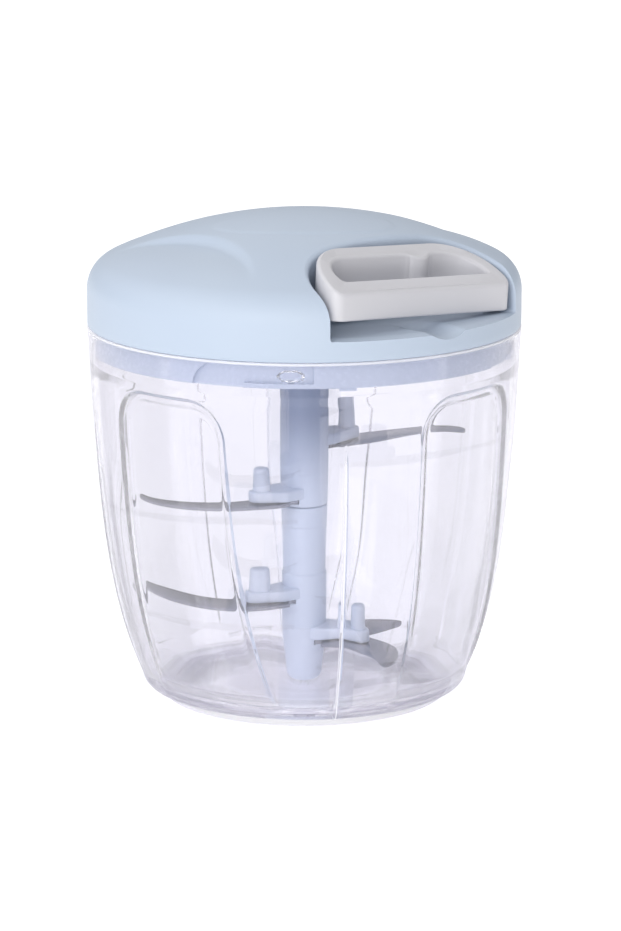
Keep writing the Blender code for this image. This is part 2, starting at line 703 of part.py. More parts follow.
def make_cord_guide(material):
    """Flanged eyelet that the cord runs through, its flange on the pocket's back wall."""
    bore = CORD_RADIUS + CORD_HOLE_GAP
    face = POCKET_BACK + GAP
    inner_end = POCKET_BACK - 1.3 * POCKET_WALL
    flange = guide_radius() + GUIDE_FLANGE_STEP
    profile = [(bore, inner_end), (guide_radius(), inner_end), (guide_radius(), face), (flange, face),
               (flange - GUIDE_FLANGE / 3.0, face + GUIDE_FLANGE), (bore, face + GUIDE_FLANGE)]
    guide = turned("cord_guide", profile, material, 16, joined=True)
    return place(guide, PULL_FRAME @ at_cord(0.0) @ Matrix.Rotation(math.radians(90.0), 4, "Y"))


def slot_cutter(azimuth):
    """Bayonet slot: a curved lead-in from below, a run above the rail and a stop."""
    rail_top = LUG_CENTRE_Z - LUG_HEIGHT / 2.0 - RAIL_TOP_GAP
    slot_top = LUG_CENTRE_Z + LUG_HEIGHT / 2.0 + SLOT_TOP_GAP
    below = COVER_BOTTOM - 2.0 * COVER_TAB_DROP
    columns = []
    for i in range(6):
        turn = math.radians(90.0 - 90.0 * i / 5.0)
        columns.append((SLOT_ENTRY_AZIMUTH + SLOT_LEAD * (1.0 - math.sin(turn)), below,
                        COVER_BOTTOM + (slot_top - COVER_BOTTOM) * math.cos(turn)))
    columns.append((RAIL_START_AZIMUTH, below, slot_top))
    columns.append((RAIL_START_AZIMUTH + 0.2, rail_top, slot_top))
    columns.append((-10.0, rail_top, slot_top))
    columns.append((-4.0, rail_top, slot_top))
    columns.append((SLOT_STOP_AZIMUTH, rail_top, slot_top))
    columns = [(azimuth + turn, low, high) for turn, low, high in columns]
    return band("slot", columns, RIM_INNER_RADIUS - LUG_REACH - SLOT_FLOOR_GAP, BOWL_RIM_RADIUS)


def make_inner_cover(material):
    """Plate that closes the lid, with the bayonet skirt and a plug into the shell."""
    skirt_inner = COVER_RADIUS - COVER_SKIRT
    plug = COVER_RADIUS - COVER_PLUG_STEP
    plate_top = COVER_PLATE_BOTTOM + COVER_PLATE
    skirt_top = BOWL_RIM_TOP - GAP
    plug_top = BOWL_RIM_TOP + COVER_PLUG_HEIGHT
    hole = SOCKET_RADIUS + 2.0 * GAP
    profile = [(hole, COVER_PLATE_BOTTOM), (skirt_inner, COVER_PLATE_BOTTOM), (skirt_inner, COVER_BOTTOM),
               (COVER_RADIUS - COVER_SKIRT / 6.0, COVER_BOTTOM),
               (COVER_RADIUS, COVER_BOTTOM + COVER_SKIRT / 6.0),
               (COVER_RADIUS, skirt_top), (plug, skirt_top), (plug, plug_top),
               (skirt_inner, plug_top), (skirt_inner, plate_top), (hole, plate_top)]
    cover = turned("inner_cover", profile, material, INNER_ROUND, joined=True)
    for i in range(BAYONET_COUNT):
        cut(cover, slot_cutter(360.0 * i / BAYONET_COUNT))
        fuse(cover, cover_tab(COVER_TAB_AZIMUTH + 360.0 * i / BAYONET_COUNT))
    for spot in screw_spots():
        cut(cover, upright("screw_hole", spot, COVER_BOTTOM, BOWL_RIM_TOP, SCREW_RADIUS + GAP, 10))
    return cover


def cover_tab(azimuth):
    """Short tab under the skirt."""
    span = math.degrees(COVER_TAB_WIDTH / 2.0 / COVER_RADIUS)
    low = COVER_BOTTOM - COVER_TAB_DROP
    high = COVER_BOTTOM + COVER_TAB_DROP
    outline = [(azimuth - span, low), (azimuth + span, low), (azimuth + span, high), (azimuth - span, high)]
    return wrapped("tab", outline, COVER_RADIUS - COVER_SKIRT / 2.0, COVER_RADIUS - COVER_SKIRT / 4.0)


def make_seal_ring(material):
    """Flat silicone ring in the lid's groove, pressing on the bowl's rim."""
    inner = COVER_RADIUS - COVER_PLUG_STEP + GAP
    outer = LID_RADIUS - SEAL_LIP - GAP
    bottom = BOWL_RIM_TOP + GAP
    middle = (inner + outer) / 2.0
    crest = SEAL_HEIGHT / 6.0
    profile = [(inner, bottom + crest), (middle, bottom), (outer, bottom + crest),
               (outer, bottom + SEAL_HEIGHT), (inner, bottom + SEAL_HEIGHT)]
    return turned("seal_ring", profile, material, INNER_ROUND, joined=True)


def screw_end():
    return COVER_PLATE_BOTTOM - GAP + SCREW_LENGTH


def make_cover_screw(index, spot, material):
    head_top = COVER_PLATE_BOTTOM - GAP
    profile = [(0.0, head_top - SCREW_HEAD), (SCREW_HEAD_RADIUS * 0.7, head_top - SCREW_HEAD),
               (SCREW_HEAD_RADIUS, head_top - SCREW_HEAD * 0.5), (SCREW_HEAD_RADIUS, head_top),
               (SCREW_RADIUS, head_top), (SCREW_RADIUS, screw_end() - SCREW_RADIUS), (0.0, screw_end())]
    screw = turned("cover_screw_%d" % index, profile, material, 12)
    return place(screw, Matrix.Translation(spot))


# Reel and recoil spring

def disc_bottom():
    return COVER_PLATE_BOTTOM + COVER_PLATE + GAP


def disc_top():
    return disc_bottom() + SOCKET_DISC


def reel_roof():
    """Upper face of the spring cup, which is the floor of the cord groove."""
    return CORD_HEIGHT - CORD_RADIUS - GAP


def reel_ceiling():
    """Underside of the cup's roof, above the spring."""
    return reel_roof() - REEL_WALL


def make_reel(material):
    """Cord drum above a cup that opens downwards and holds the recoil spring."""
    bore = POST_RADIUS + GAP
    core = CORD_OFFSET - CORD_RADIUS - GAP
    cup = REEL_RADIUS - REEL_WALL
    top = WINDING_TOP + GAP
    flange = CORD_OFFSET + CORD_RADIUS + REEL_FLANGE_STEP
    profile = [(bore, reel_ceiling()), (cup, reel_ceiling()),
               (cup, disc_bottom()), (REEL_RADIUS, disc_bottom()),
               (REEL_RADIUS, reel_roof()), (core, reel_roof()), (core, top), (flange, top),
               (flange, top + REEL_FLANGE), (bore, top + REEL_FLANGE)]
    return turned("cord_reel", profile, material, 40, joined=True)


def make_drive_socket(material):
    """Disc that closes the spring cup, with the hexagon socket that turns the blades."""
    outer = REEL_RADIUS - REEL_WALL - GAP
    chamfer = HEX_PLAY
    profile = [(0.0, SOCKET_BOTTOM), (SOCKET_RADIUS - chamfer, SOCKET_BOTTOM),
               (SOCKET_RADIUS, SOCKET_BOTTOM + chamfer),
               (SOCKET_RADIUS, disc_bottom()), (outer, disc_bottom()),
               (outer, disc_top()), (0.0, disc_top())]
    socket = turned("drive_socket", profile, material, 32)
    cut(socket, hexagon("socket_hole", HEX_ACROSS_FLATS + 2.0 * HEX_PLAY, UPPER_HUB_TOP, hex_top() + GAP))
    return socket


def hex_top():
    return disc_bottom() + GAP


def hexagon(name, across_flats, bottom, top):
    corner = across_flats / math.sqrt(3.0)
    outline = arc((0.0, 0.0), corner, 0.0, 300.0, 6)
    return prism(name, outline, bottom, top)


def wound(name, path, section, material):
    """Sweeps a (radial, up) section along (turn in degrees, radius, height) points."""
    rings = []
    for turn, radius, z in path:
        rings.append([around(radius + out, turn, z + up) for out, up in section])
    return loft(name, rings, material)


def make_recoil_spring(material):
    """Flat spiral spring between the lid's fixed post and the wall of the reel's cup."""
    inner = POST_RADIUS + GAP + SPRING_STRIP
    outer = REEL_RADIUS - REEL_WALL - GAP - SPRING_STRIP
    bottom = disc_top() + GAP
    half = SPRING_STRIP / 2.0
    width = reel_ceiling() - disc_top() - SPRING_HEADROOM
    section = [(-half, 0.0), (half, 0.0), (half, width), (-half, width)]
    steps = SPRING_TURNS * 16
    path = []
    for i in range(steps + 1):
        part = i / steps
        path.append((360.0 * SPRING_TURNS * part, inner + (outer - inner) * part, bottom))
    return wound("recoil_spring", path, section, material)


def make_cord_winding(material):
    """The cord wound on the drum, ending where the straight lead leaves it."""
    section = [(CORD_RADIUS * math.cos(math.radians(a)), CORD_RADIUS * math.sin(math.radians(a)))
               for a in range(0, 360, 60)]
    steps = CORD_TURNS * 16
    lead_off = PULL_AZIMUTH + 90.0
    path = []
    for i in range(steps + 1):
        part = i / steps
        climb = CORD_PITCH * CORD_TURNS * max(0.0, part - 0.5 / steps)
        path.append((lead_off + 360.0 * CORD_TURNS * part, CORD_OFFSET, CORD_HEIGHT + climb))
    print("cord_winding: least gap between turns %.2f mm" % (1000.0 * least_gap(path, 16)))
    return wound("cord_winding", path, section, material)


def least_gap(path, per_turn):
    """Least gap between the cord's turns, measured between points over half a turn apart."""
    points = [around(radius, turn, z) for turn, radius, z in path]
    gap = 1.0
    for i, point in enumerate(points):
        for other in points[i + per_turn // 2:]:
            gap = min(gap, (point - other).length - 2.0 * CORD_RADIUS)
    return gap


# Handle

def handle_back():
    return POCKET_BACK + HANDLE_BACK_GAP


def handle_top(x):
    """Height of the handle's top surface, which follows the lid's dome."""
    out = x - handle_back()
    bend = HANDLE_TOP_BEND * out * out / (HANDLE_FRONT - handle_back())
    return LID_TOP - HANDLE_DROP - HANDLE_TOP_SLOPE * out - bend


def handle_section(outer, inner):
    """Section of the loop between its outer and inner outlines, with rounded edges."""
    outside = Vector((*outer, 0.0))
    inside = Vector((*inner, 0.0))
    across = (inside - outside).normalized()
    edge = HANDLE_EDGE
    soft = HANDLE_EDGE * 0.3
    high = handle_top(outside.x)
    low = handle_top(inside.x)
    points = [(outside, 0.6 * edge, HANDLE_BOTTOM), (outside, 0.0, HANDLE_BOTTOM + 0.6 * edge),
              (outside, 0.0, high - edge), (outside, soft, high - soft), (outside, edge, high),
              (inside, -edge, low), (inside, -soft, low - soft), (inside, 0.0, low - edge),
              (inside, 0.0, HANDLE_BOTTOM + 0.6 * edge), (inside, -0.6 * edge, HANDLE_BOTTOM)]
    return [base + across * shift + Vector((0.0, 0.0, z)) for base, shift, z in points]


def make_handle(material):
    """D-shaped pull loop; a boss in its back wall holds the knotted end of the cord."""
    back = handle_back()
    half_width = POCKET_HALF_WIDTH - HANDLE_SIDE_GAP
    corner = pocket_corner() - HANDLE_SIDE_GAP
    boss = knot_boss_radius()
    spine = [CORD_OFFSET + boss * step for step in BOSS_STEPS]
    spine += [CORD_OFFSET] + [CORD_OFFSET - boss * step for step in reversed(BOSS_STEPS)]
    spine.append(-half_width / 3.0)
    outer = d_outline(back, HANDLE_FRONT, half_width, corner, HANDLE_FRONT_CORNER, 7, spine)
    inner = d_outline(back + HANDLE_BACK_WALL, HANDLE_FRONT - HANDLE_BAR, half_width - HANDLE_SIDE_WALL,
                      inner_corner(), HANDLE_EDGE, 7, spine)
    inner = [(with_boss(x, y), y) for x, y in inner]
    handle = loft("pull_handle", [handle_section(a, b) for a, b in zip(outer, inner)], material, joined=True)
    knot = Vector((knot_place(), CORD_OFFSET, CORD_HEIGHT))
    bore = KNOT_RADIUS + GAP
    cut(handle, upright("knot_bore", knot, 0.9 * HANDLE_BOTTOM, CORD_HEIGHT + bore, bore, 14))
    outside = Vector((0.9 * back, knot.y, knot.z))
    cut(handle, rod("cord_hole", outside, knot, CORD_RADIUS + CORD_HOLE_GAP, None, 12))
    return place(handle, handle_roll())


def back_straight():
    """The back walls stay straight out to here, past the boss of the knot."""
    return CORD_OFFSET + 1.3 * knot_boss_radius()


def pocket_corner():
    """Radius of the pocket's back corners, which its back wall limits."""
    return min(POCKET_CORNER, POCKET_HALF_WIDTH - back_straight())


def inner_corner():
    """Radius of the back corners of the handle's hole, which its back wall limits."""
    half_width = POCKET_HALF_WIDTH - HANDLE_SIDE_GAP - HANDLE_SIDE_WALL
    return min(HANDLE_INNER_CORNER, half_width - back_straight())


def with_boss(x, y):
    """Moves a point of the loop's inner outline out round the knot's boss."""
    if x > HANDLE_FRONT - HANDLE_BAR - inner_corner():
        return x
    reach = knot_boss_radius() ** 2 - (y - CORD_OFFSET) ** 2
    return max(x, knot_place() + math.sqrt(max(0.0, reach)) if reach > 0.0 else x)


def handle_roll():
    """The handle hangs a little turned about its cord."""
    return at_cord(0.0) @ Matrix.Rotation(math.radians(HANDLE_ROLL), 4, "X") @ at_cord(0.0).inverted()


def knot_place():
    """Distance of the knot's centre from the lid's axis, along the pull."""
    return handle_back() + KNOT_RADIUS + KNOT_WALL


def knot_boss_radius():
    return KNOT_RADIUS + GAP + KNOT_BOSS_WALL


def make_cord_knot(material):
    rings = []
    for tilt in (-60, -30, 0, 30, 60):
        rings.append((KNOT_RADIUS * math.cos(math.radians(tilt)), KNOT_RADIUS * math.sin(math.radians(tilt))))
    profile = [(0.0, -KNOT_RADIUS)] + rings + [(0.0, KNOT_RADIUS)]
    knot = turned("cord_knot", profile, material, 12)
    return place(knot, at_cord(knot_place()))


def make_cord_lead(material):
    start = Vector((GAP, 0.0, 0.0))
    end = Vector((knot_place() - KNOT_RADIUS - GAP, 0.0, 0.0))
    return place(rod("cord_lead", start, end, CORD_RADIUS, material, 10), at_cord(0.0))


# Blades and their hubs

def wing_outline():
    """Plan of the wing that clamps a blade, along +X: flared at the hub, narrow at the peg."""
    half = 0.75 * UPPER_HUB_RADIUS
    tip = WING_TIP_HALF_WIDTH
    corner = WING_REACH - WING_CHAMFER
    return [(BLADE_TAB_START, -half), (WING_TRAILING_REACH, -WING_TRAILING_WIDTH),
            (corner, -tip - WING_CHAMFER / 2.0),
            (WING_REACH, -tip / 2.0), (WING_REACH, tip / 2.0), (corner, tip + WING_CHAMFER / 3.0),
            (WING_SHOULDER_REACH, WING_SHOULDER_WIDTH), (BLADE_TAB_START, half)]


def radial_frame(azimuth):
    """Turns +X to an azimuth."""
    return Matrix.Rotation(math.radians(azimuth - 90.0), 4, "Z")


def add_wing(hub, blade, hub_radius):
    """Adds a wing over a blade, the peg on it and the rivet through the blade."""
    azimuth, height = blade[0], blade[1]
    turn = radial_frame(azimuth)
    half_sheet = BLADE_SHEET / 2.0
    bottom = height + half_sheet + GAP
    top = bottom + WING_THICKNESS
    wing = prism("wing", wing_outline(), bottom, top)
    peg_root = bottom + WING_THICKNESS / 4.0
    peg_top = top + PEG_HEIGHT
    peg = turned("peg", [(0.0, peg_root), (PEG_RADIUS, peg_root),
                         (PEG_RADIUS * 0.9, peg_top - PEG_RADIUS / 5.0),
                         (PEG_RADIUS * 0.72, peg_top), (0.0, peg_top)], None, 14)
    move(peg, Matrix.Translation((PEG_DISTANCE, 0.0, 0.0)))
    rivet = upright("rivet", Vector((PEG_DISTANCE, 0.0, 0.0)), height - half_sheet - RIVET_DROP,
                    bottom + WING_THICKNESS / 3.0, RIVET_RADIUS, 10)
    fuse(wing, peg, rivet)
    fuse(hub, move(wing, turn))
    half = BLADE_TAB_HALF_WIDTH + GAP
    start = BLADE_TAB_START - GAP
    end = 1.3 * hub_radius
    slot = prism("slot", [(start, -half), (end, -half), (end, half), (start, half)],
                 height - half_sheet - GAP, bottom)
    cut(hub, move(slot, turn))


def make_upper_hub(material):
    """Upper shaft with its hexagon head and two wings."""
    bottom = HUB_JOINT + GAP
    foot = HUB_JOINT - SPIGOT_HEIGHT
    profile = [(0.0, foot), (SPIGOT_RADIUS, foot), (SPIGOT_RADIUS, bottom), (UPPER_HUB_RADIUS, bottom),
               (UPPER_HUB_RADIUS, UPPER_HUB_TOP - 2.0 * GAP), (UPPER_HUB_RADIUS - 2.0 * GAP, UPPER_HUB_TOP),
               (0.0, UPPER_HUB_TOP)]
    hub = turned("upper_blade_hub", profile, material)
    fuse(hub, hexagon("head", HEX_ACROSS_FLATS, UPPER_HUB_TOP - HEX_ACROSS_FLATS / 4.0, hex_top()))
    for blade in (BLADE_1, BLADE_2):
        add_wing(hub, blade, UPPER_HUB_RADIUS)
    return hub


def make_lower_hub(material):
    """Lower shaft that turns on the pivot pin, with three wings."""
    bottom = boss_top() + GAP
    bore = PIVOT_RADIUS + GAP
    roof = pivot_top() + GAP
    edge = 2.0 * GAP
    socket = SPIGOT_RADIUS + GAP
    socket_floor = HUB_JOINT - SPIGOT_HEIGHT - GAP
    profile = [(0.0, roof), (bore, roof), (bore, bottom), (LOWER_HUB_RADIUS - edge, bottom),
               (LOWER_HUB_RADIUS, bottom + edge), (LOWER_HUB_RADIUS, HUB_STEP),
               (UPPER_HUB_RADIUS, HUB_STEP + edge), (UPPER_HUB_RADIUS, HUB_JOINT), (socket, HUB_JOINT),
               (socket, socket_floor), (0.0, socket_floor)]
    hub = turned("lower_blade_hub", profile, material)
    for blade in (BLADE_3, BLADE_4, BLADE_5):
        add_wing(hub, blade, LOWER_HUB_RADIUS)
    return hub


def blade_section(sweep, half, bevel, low):
    """Section across a blade after it has swept through an angle, ground on its hollow side."""
    turn = math.radians(max(0.0, sweep))
    along = BLADE_CURVE_START + BLADE_CURVE_RADIUS * math.sin(turn)
    aside = -BLADE_CURVE_RADIUS * (1.0 - math.cos(turn))
    if sweep < 0.0:
        along = BLADE_CURVE_START + BLADE_CURVE_RADIUS * math.radians(sweep)
    across = Vector((math.sin(turn), math.cos(turn), 0.0))
    middle = Vector((along, aside, low))
    up = Vector((0.0, 0.0, BLADE_SHEET))
    return [middle + across * half, middle + across * half + up, middle - across * (half - bevel) + up,
            middle - across * half + up * (BLADE_EDGE / BLADE_SHEET), middle - across * half]


def leaf_half_width(part, width):
    """Half the leaf's width along its sweep: full early on, then narrowing to a point."""
    fullness = math.sqrt(max(0.0, 1.0 - part ** 1.9)) * (0.86 + 0.14 * math.cos(2.2 * part))
    return BLADE_POINT + width / 2.0 * fullness


def make_blade(name, blade, material):
    """Sickle blade: a tab in the hub, then a leaf that sweeps round to its point."""
    azimuth, height, width, sweep, rise = blade
    low = -BLADE_SHEET / 2.0
    start = -math.degrees((BLADE_CURVE_START - BLADE_TAB_START) / BLADE_CURVE_RADIUS)
    neck = 0.2 * start
    sections = [blade_section(start, BLADE_TAB_HALF_WIDTH, GAP, low),
                blade_section(neck - 3.0, BLADE_TAB_HALF_WIDTH, GAP, low)]
    steps = 12
    for i in range(steps + 1):
        part = i / steps
        half = leaf_half_width(part, width)
        lift = rise * smooth_step((part - 0.2) / 0.8)
        sections.append(blade_section(neck + (sweep - neck) * part, half, min(BLADE_BEVEL, half), low + lift))
    sheet = loft(name, sections, material)
    cut(sheet, upright("hole", Vector((PEG_DISTANCE, 0.0, 0.0)), -WING_THICKNESS, WING_THICKNESS,
                       RIVET_RADIUS + GAP, 12))
    return place(sheet, Matrix.Translation((0.0, 0.0, height)) @ radial_frame(azimuth))


def make_axis(name, pieces, parent=None, frame=None):
    """An empty on a body's joint axis, which carries the body's pieces."""
    axis = bpy.data.objects.new(name, None)
    bpy.context.scene.collection.objects.link(axis)
    axis.parent = parent
    if frame is not None:
        place(axis, frame)
    for piece in pieces:
        piece.parent = axis
    return axis


def main():
    clear_scene()
    clear_bowl = make_material("clear_bowl", (0.86, 0.86, 0.93), 0.08, alpha=0.3)
    lid_blue = make_material("lid_blue", (0.56, 0.66, 0.78), 0.42)
    cover_blue = make_material("cover_blue", (0.56, 0.66, 0.78), 0.30)
    hub_blue = make_material("hub_blue", (0.40, 0.48, 0.66), 0.40)
    handle_grey = make_material("handle_grey", (0.58, 0.56, 0.57), 0.45)
    reel_white = make_material("reel_white", (0.80, 0.80, 0.78), 0.50)
    silicone = make_material("silicone", (0.85, 0.85, 0.86), 0.55)
    cord = make_material("cord", (0.80, 0.80, 0.78), 0.85)
    steel = make_material("steel", (0.60, 0.60, 0.61), 0.30, metallic=1.0)
    blade_steel = make_material("blade_steel", (0.60, 0.60, 0.61), 0.22, metallic=1.0)
    spring_steel = make_material("spring_steel", (0.40, 0.42, 0.48), 0.35, metallic=1.0)
    bowl = make_axis("bowl_body", [make_bowl(clear_bowl), make_base_ring(silicone), make_pivot_pin(steel)])
    screws = [make_cover_screw(i + 1, spot, steel) for i, spot in enumerate(screw_spots())]
    housing = [make_lid_shell(lid_blue), make_inner_cover(cover_blue), make_seal_ring(silicone),
               make_cord_guide(steel)]
    lid = make_axis("lid_axis", housing + screws, bowl)
    blades = [make_blade("blade_%d" % (i + 1), blade, blade_steel)
              for i, blade in enumerate((BLADE_1, BLADE_2, BLADE_3, BLADE_4, BLADE_5))]
    rotor = [make_reel(reel_white), make_drive_socket(hub_blue), make_recoil_spring(spring_steel),
             make_cord_winding(cord), make_upper_hub(hub_blue), make_lower_hub(hub_blue)]
    make_axis("reel_axis", rotor + blades, lid)
    pull = [make_handle(handle_grey), make_cord_knot(cord), make_cord_lead(cord)]
    make_axis("pull_axis", pull, lid, PULL_FRAME)


main()
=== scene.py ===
import math

import bmesh
import bpy
import numpy as np
from mathutils import Matrix, Vector


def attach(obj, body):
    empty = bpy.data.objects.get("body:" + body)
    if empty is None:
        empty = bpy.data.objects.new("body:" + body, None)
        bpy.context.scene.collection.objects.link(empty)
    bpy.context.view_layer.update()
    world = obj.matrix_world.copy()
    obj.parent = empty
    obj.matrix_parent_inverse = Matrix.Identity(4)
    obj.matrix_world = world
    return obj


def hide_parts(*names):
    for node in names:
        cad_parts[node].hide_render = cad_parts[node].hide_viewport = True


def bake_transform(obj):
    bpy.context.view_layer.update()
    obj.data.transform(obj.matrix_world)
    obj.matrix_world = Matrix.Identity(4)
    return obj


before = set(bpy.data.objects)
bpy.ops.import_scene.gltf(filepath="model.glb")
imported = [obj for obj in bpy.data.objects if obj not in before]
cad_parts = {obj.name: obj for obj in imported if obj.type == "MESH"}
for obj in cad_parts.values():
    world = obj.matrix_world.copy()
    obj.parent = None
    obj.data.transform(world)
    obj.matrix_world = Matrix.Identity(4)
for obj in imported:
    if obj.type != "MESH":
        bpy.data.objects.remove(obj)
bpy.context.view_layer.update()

# Sizes shared with the part, in metres and degrees

GAP = 0.0003
BOWL_RIM_RADIUS = 0.06308
BOWL_RIM_TOP = 0.1104
BOWL_WALL = 0.0023
BOWL_DRAFT = 0.05
BOWL_FLARE = 0.01293
BOWL_FLARE_POWER = 4.107
BOWL_UNDERSIDE = 0.0032
BOWL_FLOOR = 0.0054
BOWL_FOOT_FILLET = 0.0036
RIM_LAND = 0.0100
RIM_INNER_RADIUS = 0.0608
CREASE_AZIMUTH = 11.0
CREASE_TOP = 0.0840
ARCH_TOP = 0.0988
ARCH_FOOT = 0.0085
ARCH_DEPTH = 0.0008
ARCH_CORNER = 0.0120
ARCH_LEFT = 20.7
ARCH_RIGHT = -31.8
ARCH_EDGE = 0.0015
FOOT_RIB_THICKNESS = 0.0026
FOOT_RIB_DEPTH = 0.0017
FOOT_RIB_INSET = 0.0095
PIVOT_RADIUS = 0.0018
PIVOT_FOOT = 0.0042
PIVOT_TOP = 0.0190
PIVOT_BOSS_RADIUS = 0.0062
BOSS_TOP = 0.0058
COVER_RADIUS = 0.0604
COVER_SKIRT = 0.0024
COVER_BOTTOM = 0.1029
COVER_PLATE_BOTTOM = 0.1059
COVER_PLATE = 0.0018
COVER_PLUG_TOP = 0.1136
LUG_AZIMUTH = -3.5
LUG_WIDTH = 0.0082
LUG_HEIGHT = 0.0036
LUG_Z = 0.1065
LUG_REACH = 0.0012
SCREW_CIRCLE = 0.0500
SCREW_TURNS = (0.0, 100.0, 180.0, 260.0)
SCREW_RADIUS = 0.00125
LID_RADIUS = 0.0630
LID_EDGE = 0.11056
LID_TOP = 0.1430
CROWN_RADIUS = 0.1320
SHOULDER_RADIUS = 0.0100
LID_WALL = 0.0022
PULL_AZIMUTH = 40.0
POCKET_BACK = 0.0312
POCKET_HALF_WIDTH = 0.0342
POCKET_CORNER = 0.0180
POCKET_FLOOR = 0.1168
POCKET_WALL = 0.0020
CORD_RADIUS = 0.0009
CORD_OFFSET = 0.0100
CORD_HEIGHT = 0.1222
CORD_TURNS = 5
CORD_PITCH = 0.0023
CORD_HOLE_GAP = 0.00045
GUIDE_RADIUS = 0.00225
KNOT_RADIUS = 0.0019
REEL_RADIUS = 0.0260
REEL_WALL = 0.0016
POST_RADIUS = 0.0030
HANDLE_BACK = 0.0328
HANDLE_FRONT = 0.0530
HANDLE_BOTTOM = 0.1189
SOCKET_BOTTOM = 0.1022
SOCKET_RADIUS = 0.0086
HEX_ACROSS_FLATS = 0.0096
UPPER_HUB_RADIUS = 0.0071
UPPER_HUB_TOP = 0.1008
LOWER_HUB_RADIUS = 0.0075
HUB_JOINT = 0.0568
HUB_STEP = 0.0362
SPIGOT_RADIUS = 0.0042
SPIGOT_HEIGHT = 0.0050
WING_THICKNESS = 0.0032
PEG_DISTANCE = 0.0163
PEG_RADIUS = 0.0025
PEG_HEIGHT = 0.0068
BLADE_SHEET = 0.0010
BLADE_TAB_HALF_WIDTH = 0.0040
BLADE_TAB_START = 0.0030
BLADE_CURVE_START = 0.0120
BLADE_CURVE_RADIUS = 0.0253
# azimuth, height, width, sweep and rise of each blade
BLADES = ((130.0, 0.0732, 0.0105, 98.0, 0.0044), (-50.0, 0.0588, 0.0105, 102.0, 0.0),
          (-57.0, 0.0284, 0.0135, 98.0, 0.0030), (63.0, 0.0171, 0.0135, 80.0, 0.0),
          (174.0, 0.0109, 0.0135, 96.0, 0.0))

# Relief of the bowl's wall
BEAD_HEIGHT = 0.00024
BEAD_TOP = 0.0850
INNER_STEP = 0.0004
# Small parts inside the lid and the handle
SCREW_BOSS_RADIUS = 0.0034
SCREW_LENGTH = 0.0064
SEAL_HEIGHT = 0.0026
SEAL_INSET = 0.0010
PLUG_INSET = 0.0006
DISC_THICKNESS = 0.0015
REEL_FLANGE = 0.0020
REEL_FLANGE_THICKNESS = 0.0015
RIVET_RADIUS = 0.0014
HANDLE_PLAY = 0.0013
HANDLE_BACK_BAR = 0.0046
HANDLE_FRONT_BAR = 0.0043
HANDLE_SIDE_BAR = 0.0058
HANDLE_SINK = 0.0066
HANDLE_ROLL = -3.8
KNOT_COVER = 0.0013
# Sizes and frames that follow from these
CROWN_CENTRE = LID_TOP - CROWN_RADIUS
SHOULDER_REACH = LID_RADIUS - SHOULDER_RADIUS
SHOULDER_CENTRE = CROWN_CENTRE + math.sqrt((CROWN_RADIUS - SHOULDER_RADIUS) ** 2 - SHOULDER_REACH ** 2)
DISC_BOTTOM = COVER_PLATE_BOTTOM + COVER_PLATE + GAP
REEL_ROOF = CORD_HEIGHT - CORD_RADIUS - GAP
REEL_CEILING = REEL_ROOF - REEL_WALL
PULL_FRAME = Matrix.Rotation(math.radians(PULL_AZIMUTH - 90.0), 4, "Z")
CORD_FRAME = PULL_FRAME @ Matrix.Translation((0.0, CORD_OFFSET, CORD_HEIGHT))


# Mesh making

def around(radius, azimuth, z):
    """The point at a radius and an azimuth, which runs from the front towards +X."""
    angle = math.radians(azimuth)
    return Vector((radius * math.sin(angle), -radius * math.cos(angle), z))


def placed(name, data):
    """A new object in the scene."""
    obj = bpy.data.objects.new(name, data)
    bpy.context.scene.collection.objects.link(obj)
    return obj


def discard(obj):
    """Takes an object out of the scene."""
    bpy.data.objects.remove(obj, do_unlink=True)


def shade(obj, angle=35.0):
    """Smooth shading, with edges sharper than an angle kept."""
    obj.data.shade_smooth()
    obj.data.set_sharp_from_angle(angle=math.radians(angle))


def make_object(name, vertices, faces, material=None, angle=35.0):
    """A mesh object from points and faces, with its faces turned outwards."""
    mesh = bpy.data.meshes.new(name)
    mesh.from_pydata([tuple(v) for v in vertices], [], faces)
    bm = bmesh.new()
    bm.from_mesh(mesh)
    bmesh.ops.recalc_face_normals(bm, faces=bm.faces)
    bm.to_mesh(mesh)
    bm.free()
    obj = placed(name, mesh)
    if material is not None:
        mesh.materials.append(material)
    shade(obj, angle)
    return obj


def loft(name, rings, material=None, joined=False, angle=35.0):
    """Skins rings of points; a ring of one point is a tip, joined closes last to first."""
    vertices, starts, faces = [], [], []
    for ring in rings:
        starts.append(len(vertices))
        vertices.extend(tuple(point) for point in ring)
    pairs = list(zip(range(len(rings) - 1), range(1, len(rings))))
    if joined:
        pairs.append((len(rings) - 1, 0))
    for low, high in pairs:
        a, b = starts[low], starts[high]
        na, nb = len(rings[low]), len(rings[high])
        count = max(na, nb)
        for i in range(count):
            j = (i + 1) % count
            if na == 1:
                faces.append((a, b + j, b + i))
            elif nb == 1:
                faces.append((a + i, a + j, b))
            else:
                faces.append((a + i, a + j, b + j, b + i))
    if not joined:
        for end in (0, -1):
            if len(rings[end]) > 2:
                faces.append(tuple(starts[end] + i for i in range(len(rings[end]))))
    return make_object(name, vertices, faces, material, angle)


def rounded(points, radius, closed=True, steps=3):
    """Rounds the corners of a (radius, height) profile with short curves."""
    result = []
    count = len(points)
    for i, point in enumerate(points):
        if not closed and i in (0, count - 1):
            result.append(point)
            continue
        here = Vector((*point, 0.0))
        before = Vector((*points[i - 1], 0.0)) - here
        after = Vector((*points[(i + 1) % count], 0.0)) - here
        reach = min(radius, 0.4 * before.length, 0.4 * after.length)
        start = here + before.normalized() * reach
        end = here + after.normalized() * reach
        for step in range(steps + 1):
            t = step / steps
            bent = start * (1 - t) ** 2 + here * 2 * t * (1 - t) + end * t ** 2
            result.append((bent.x, bent.y))
    return result


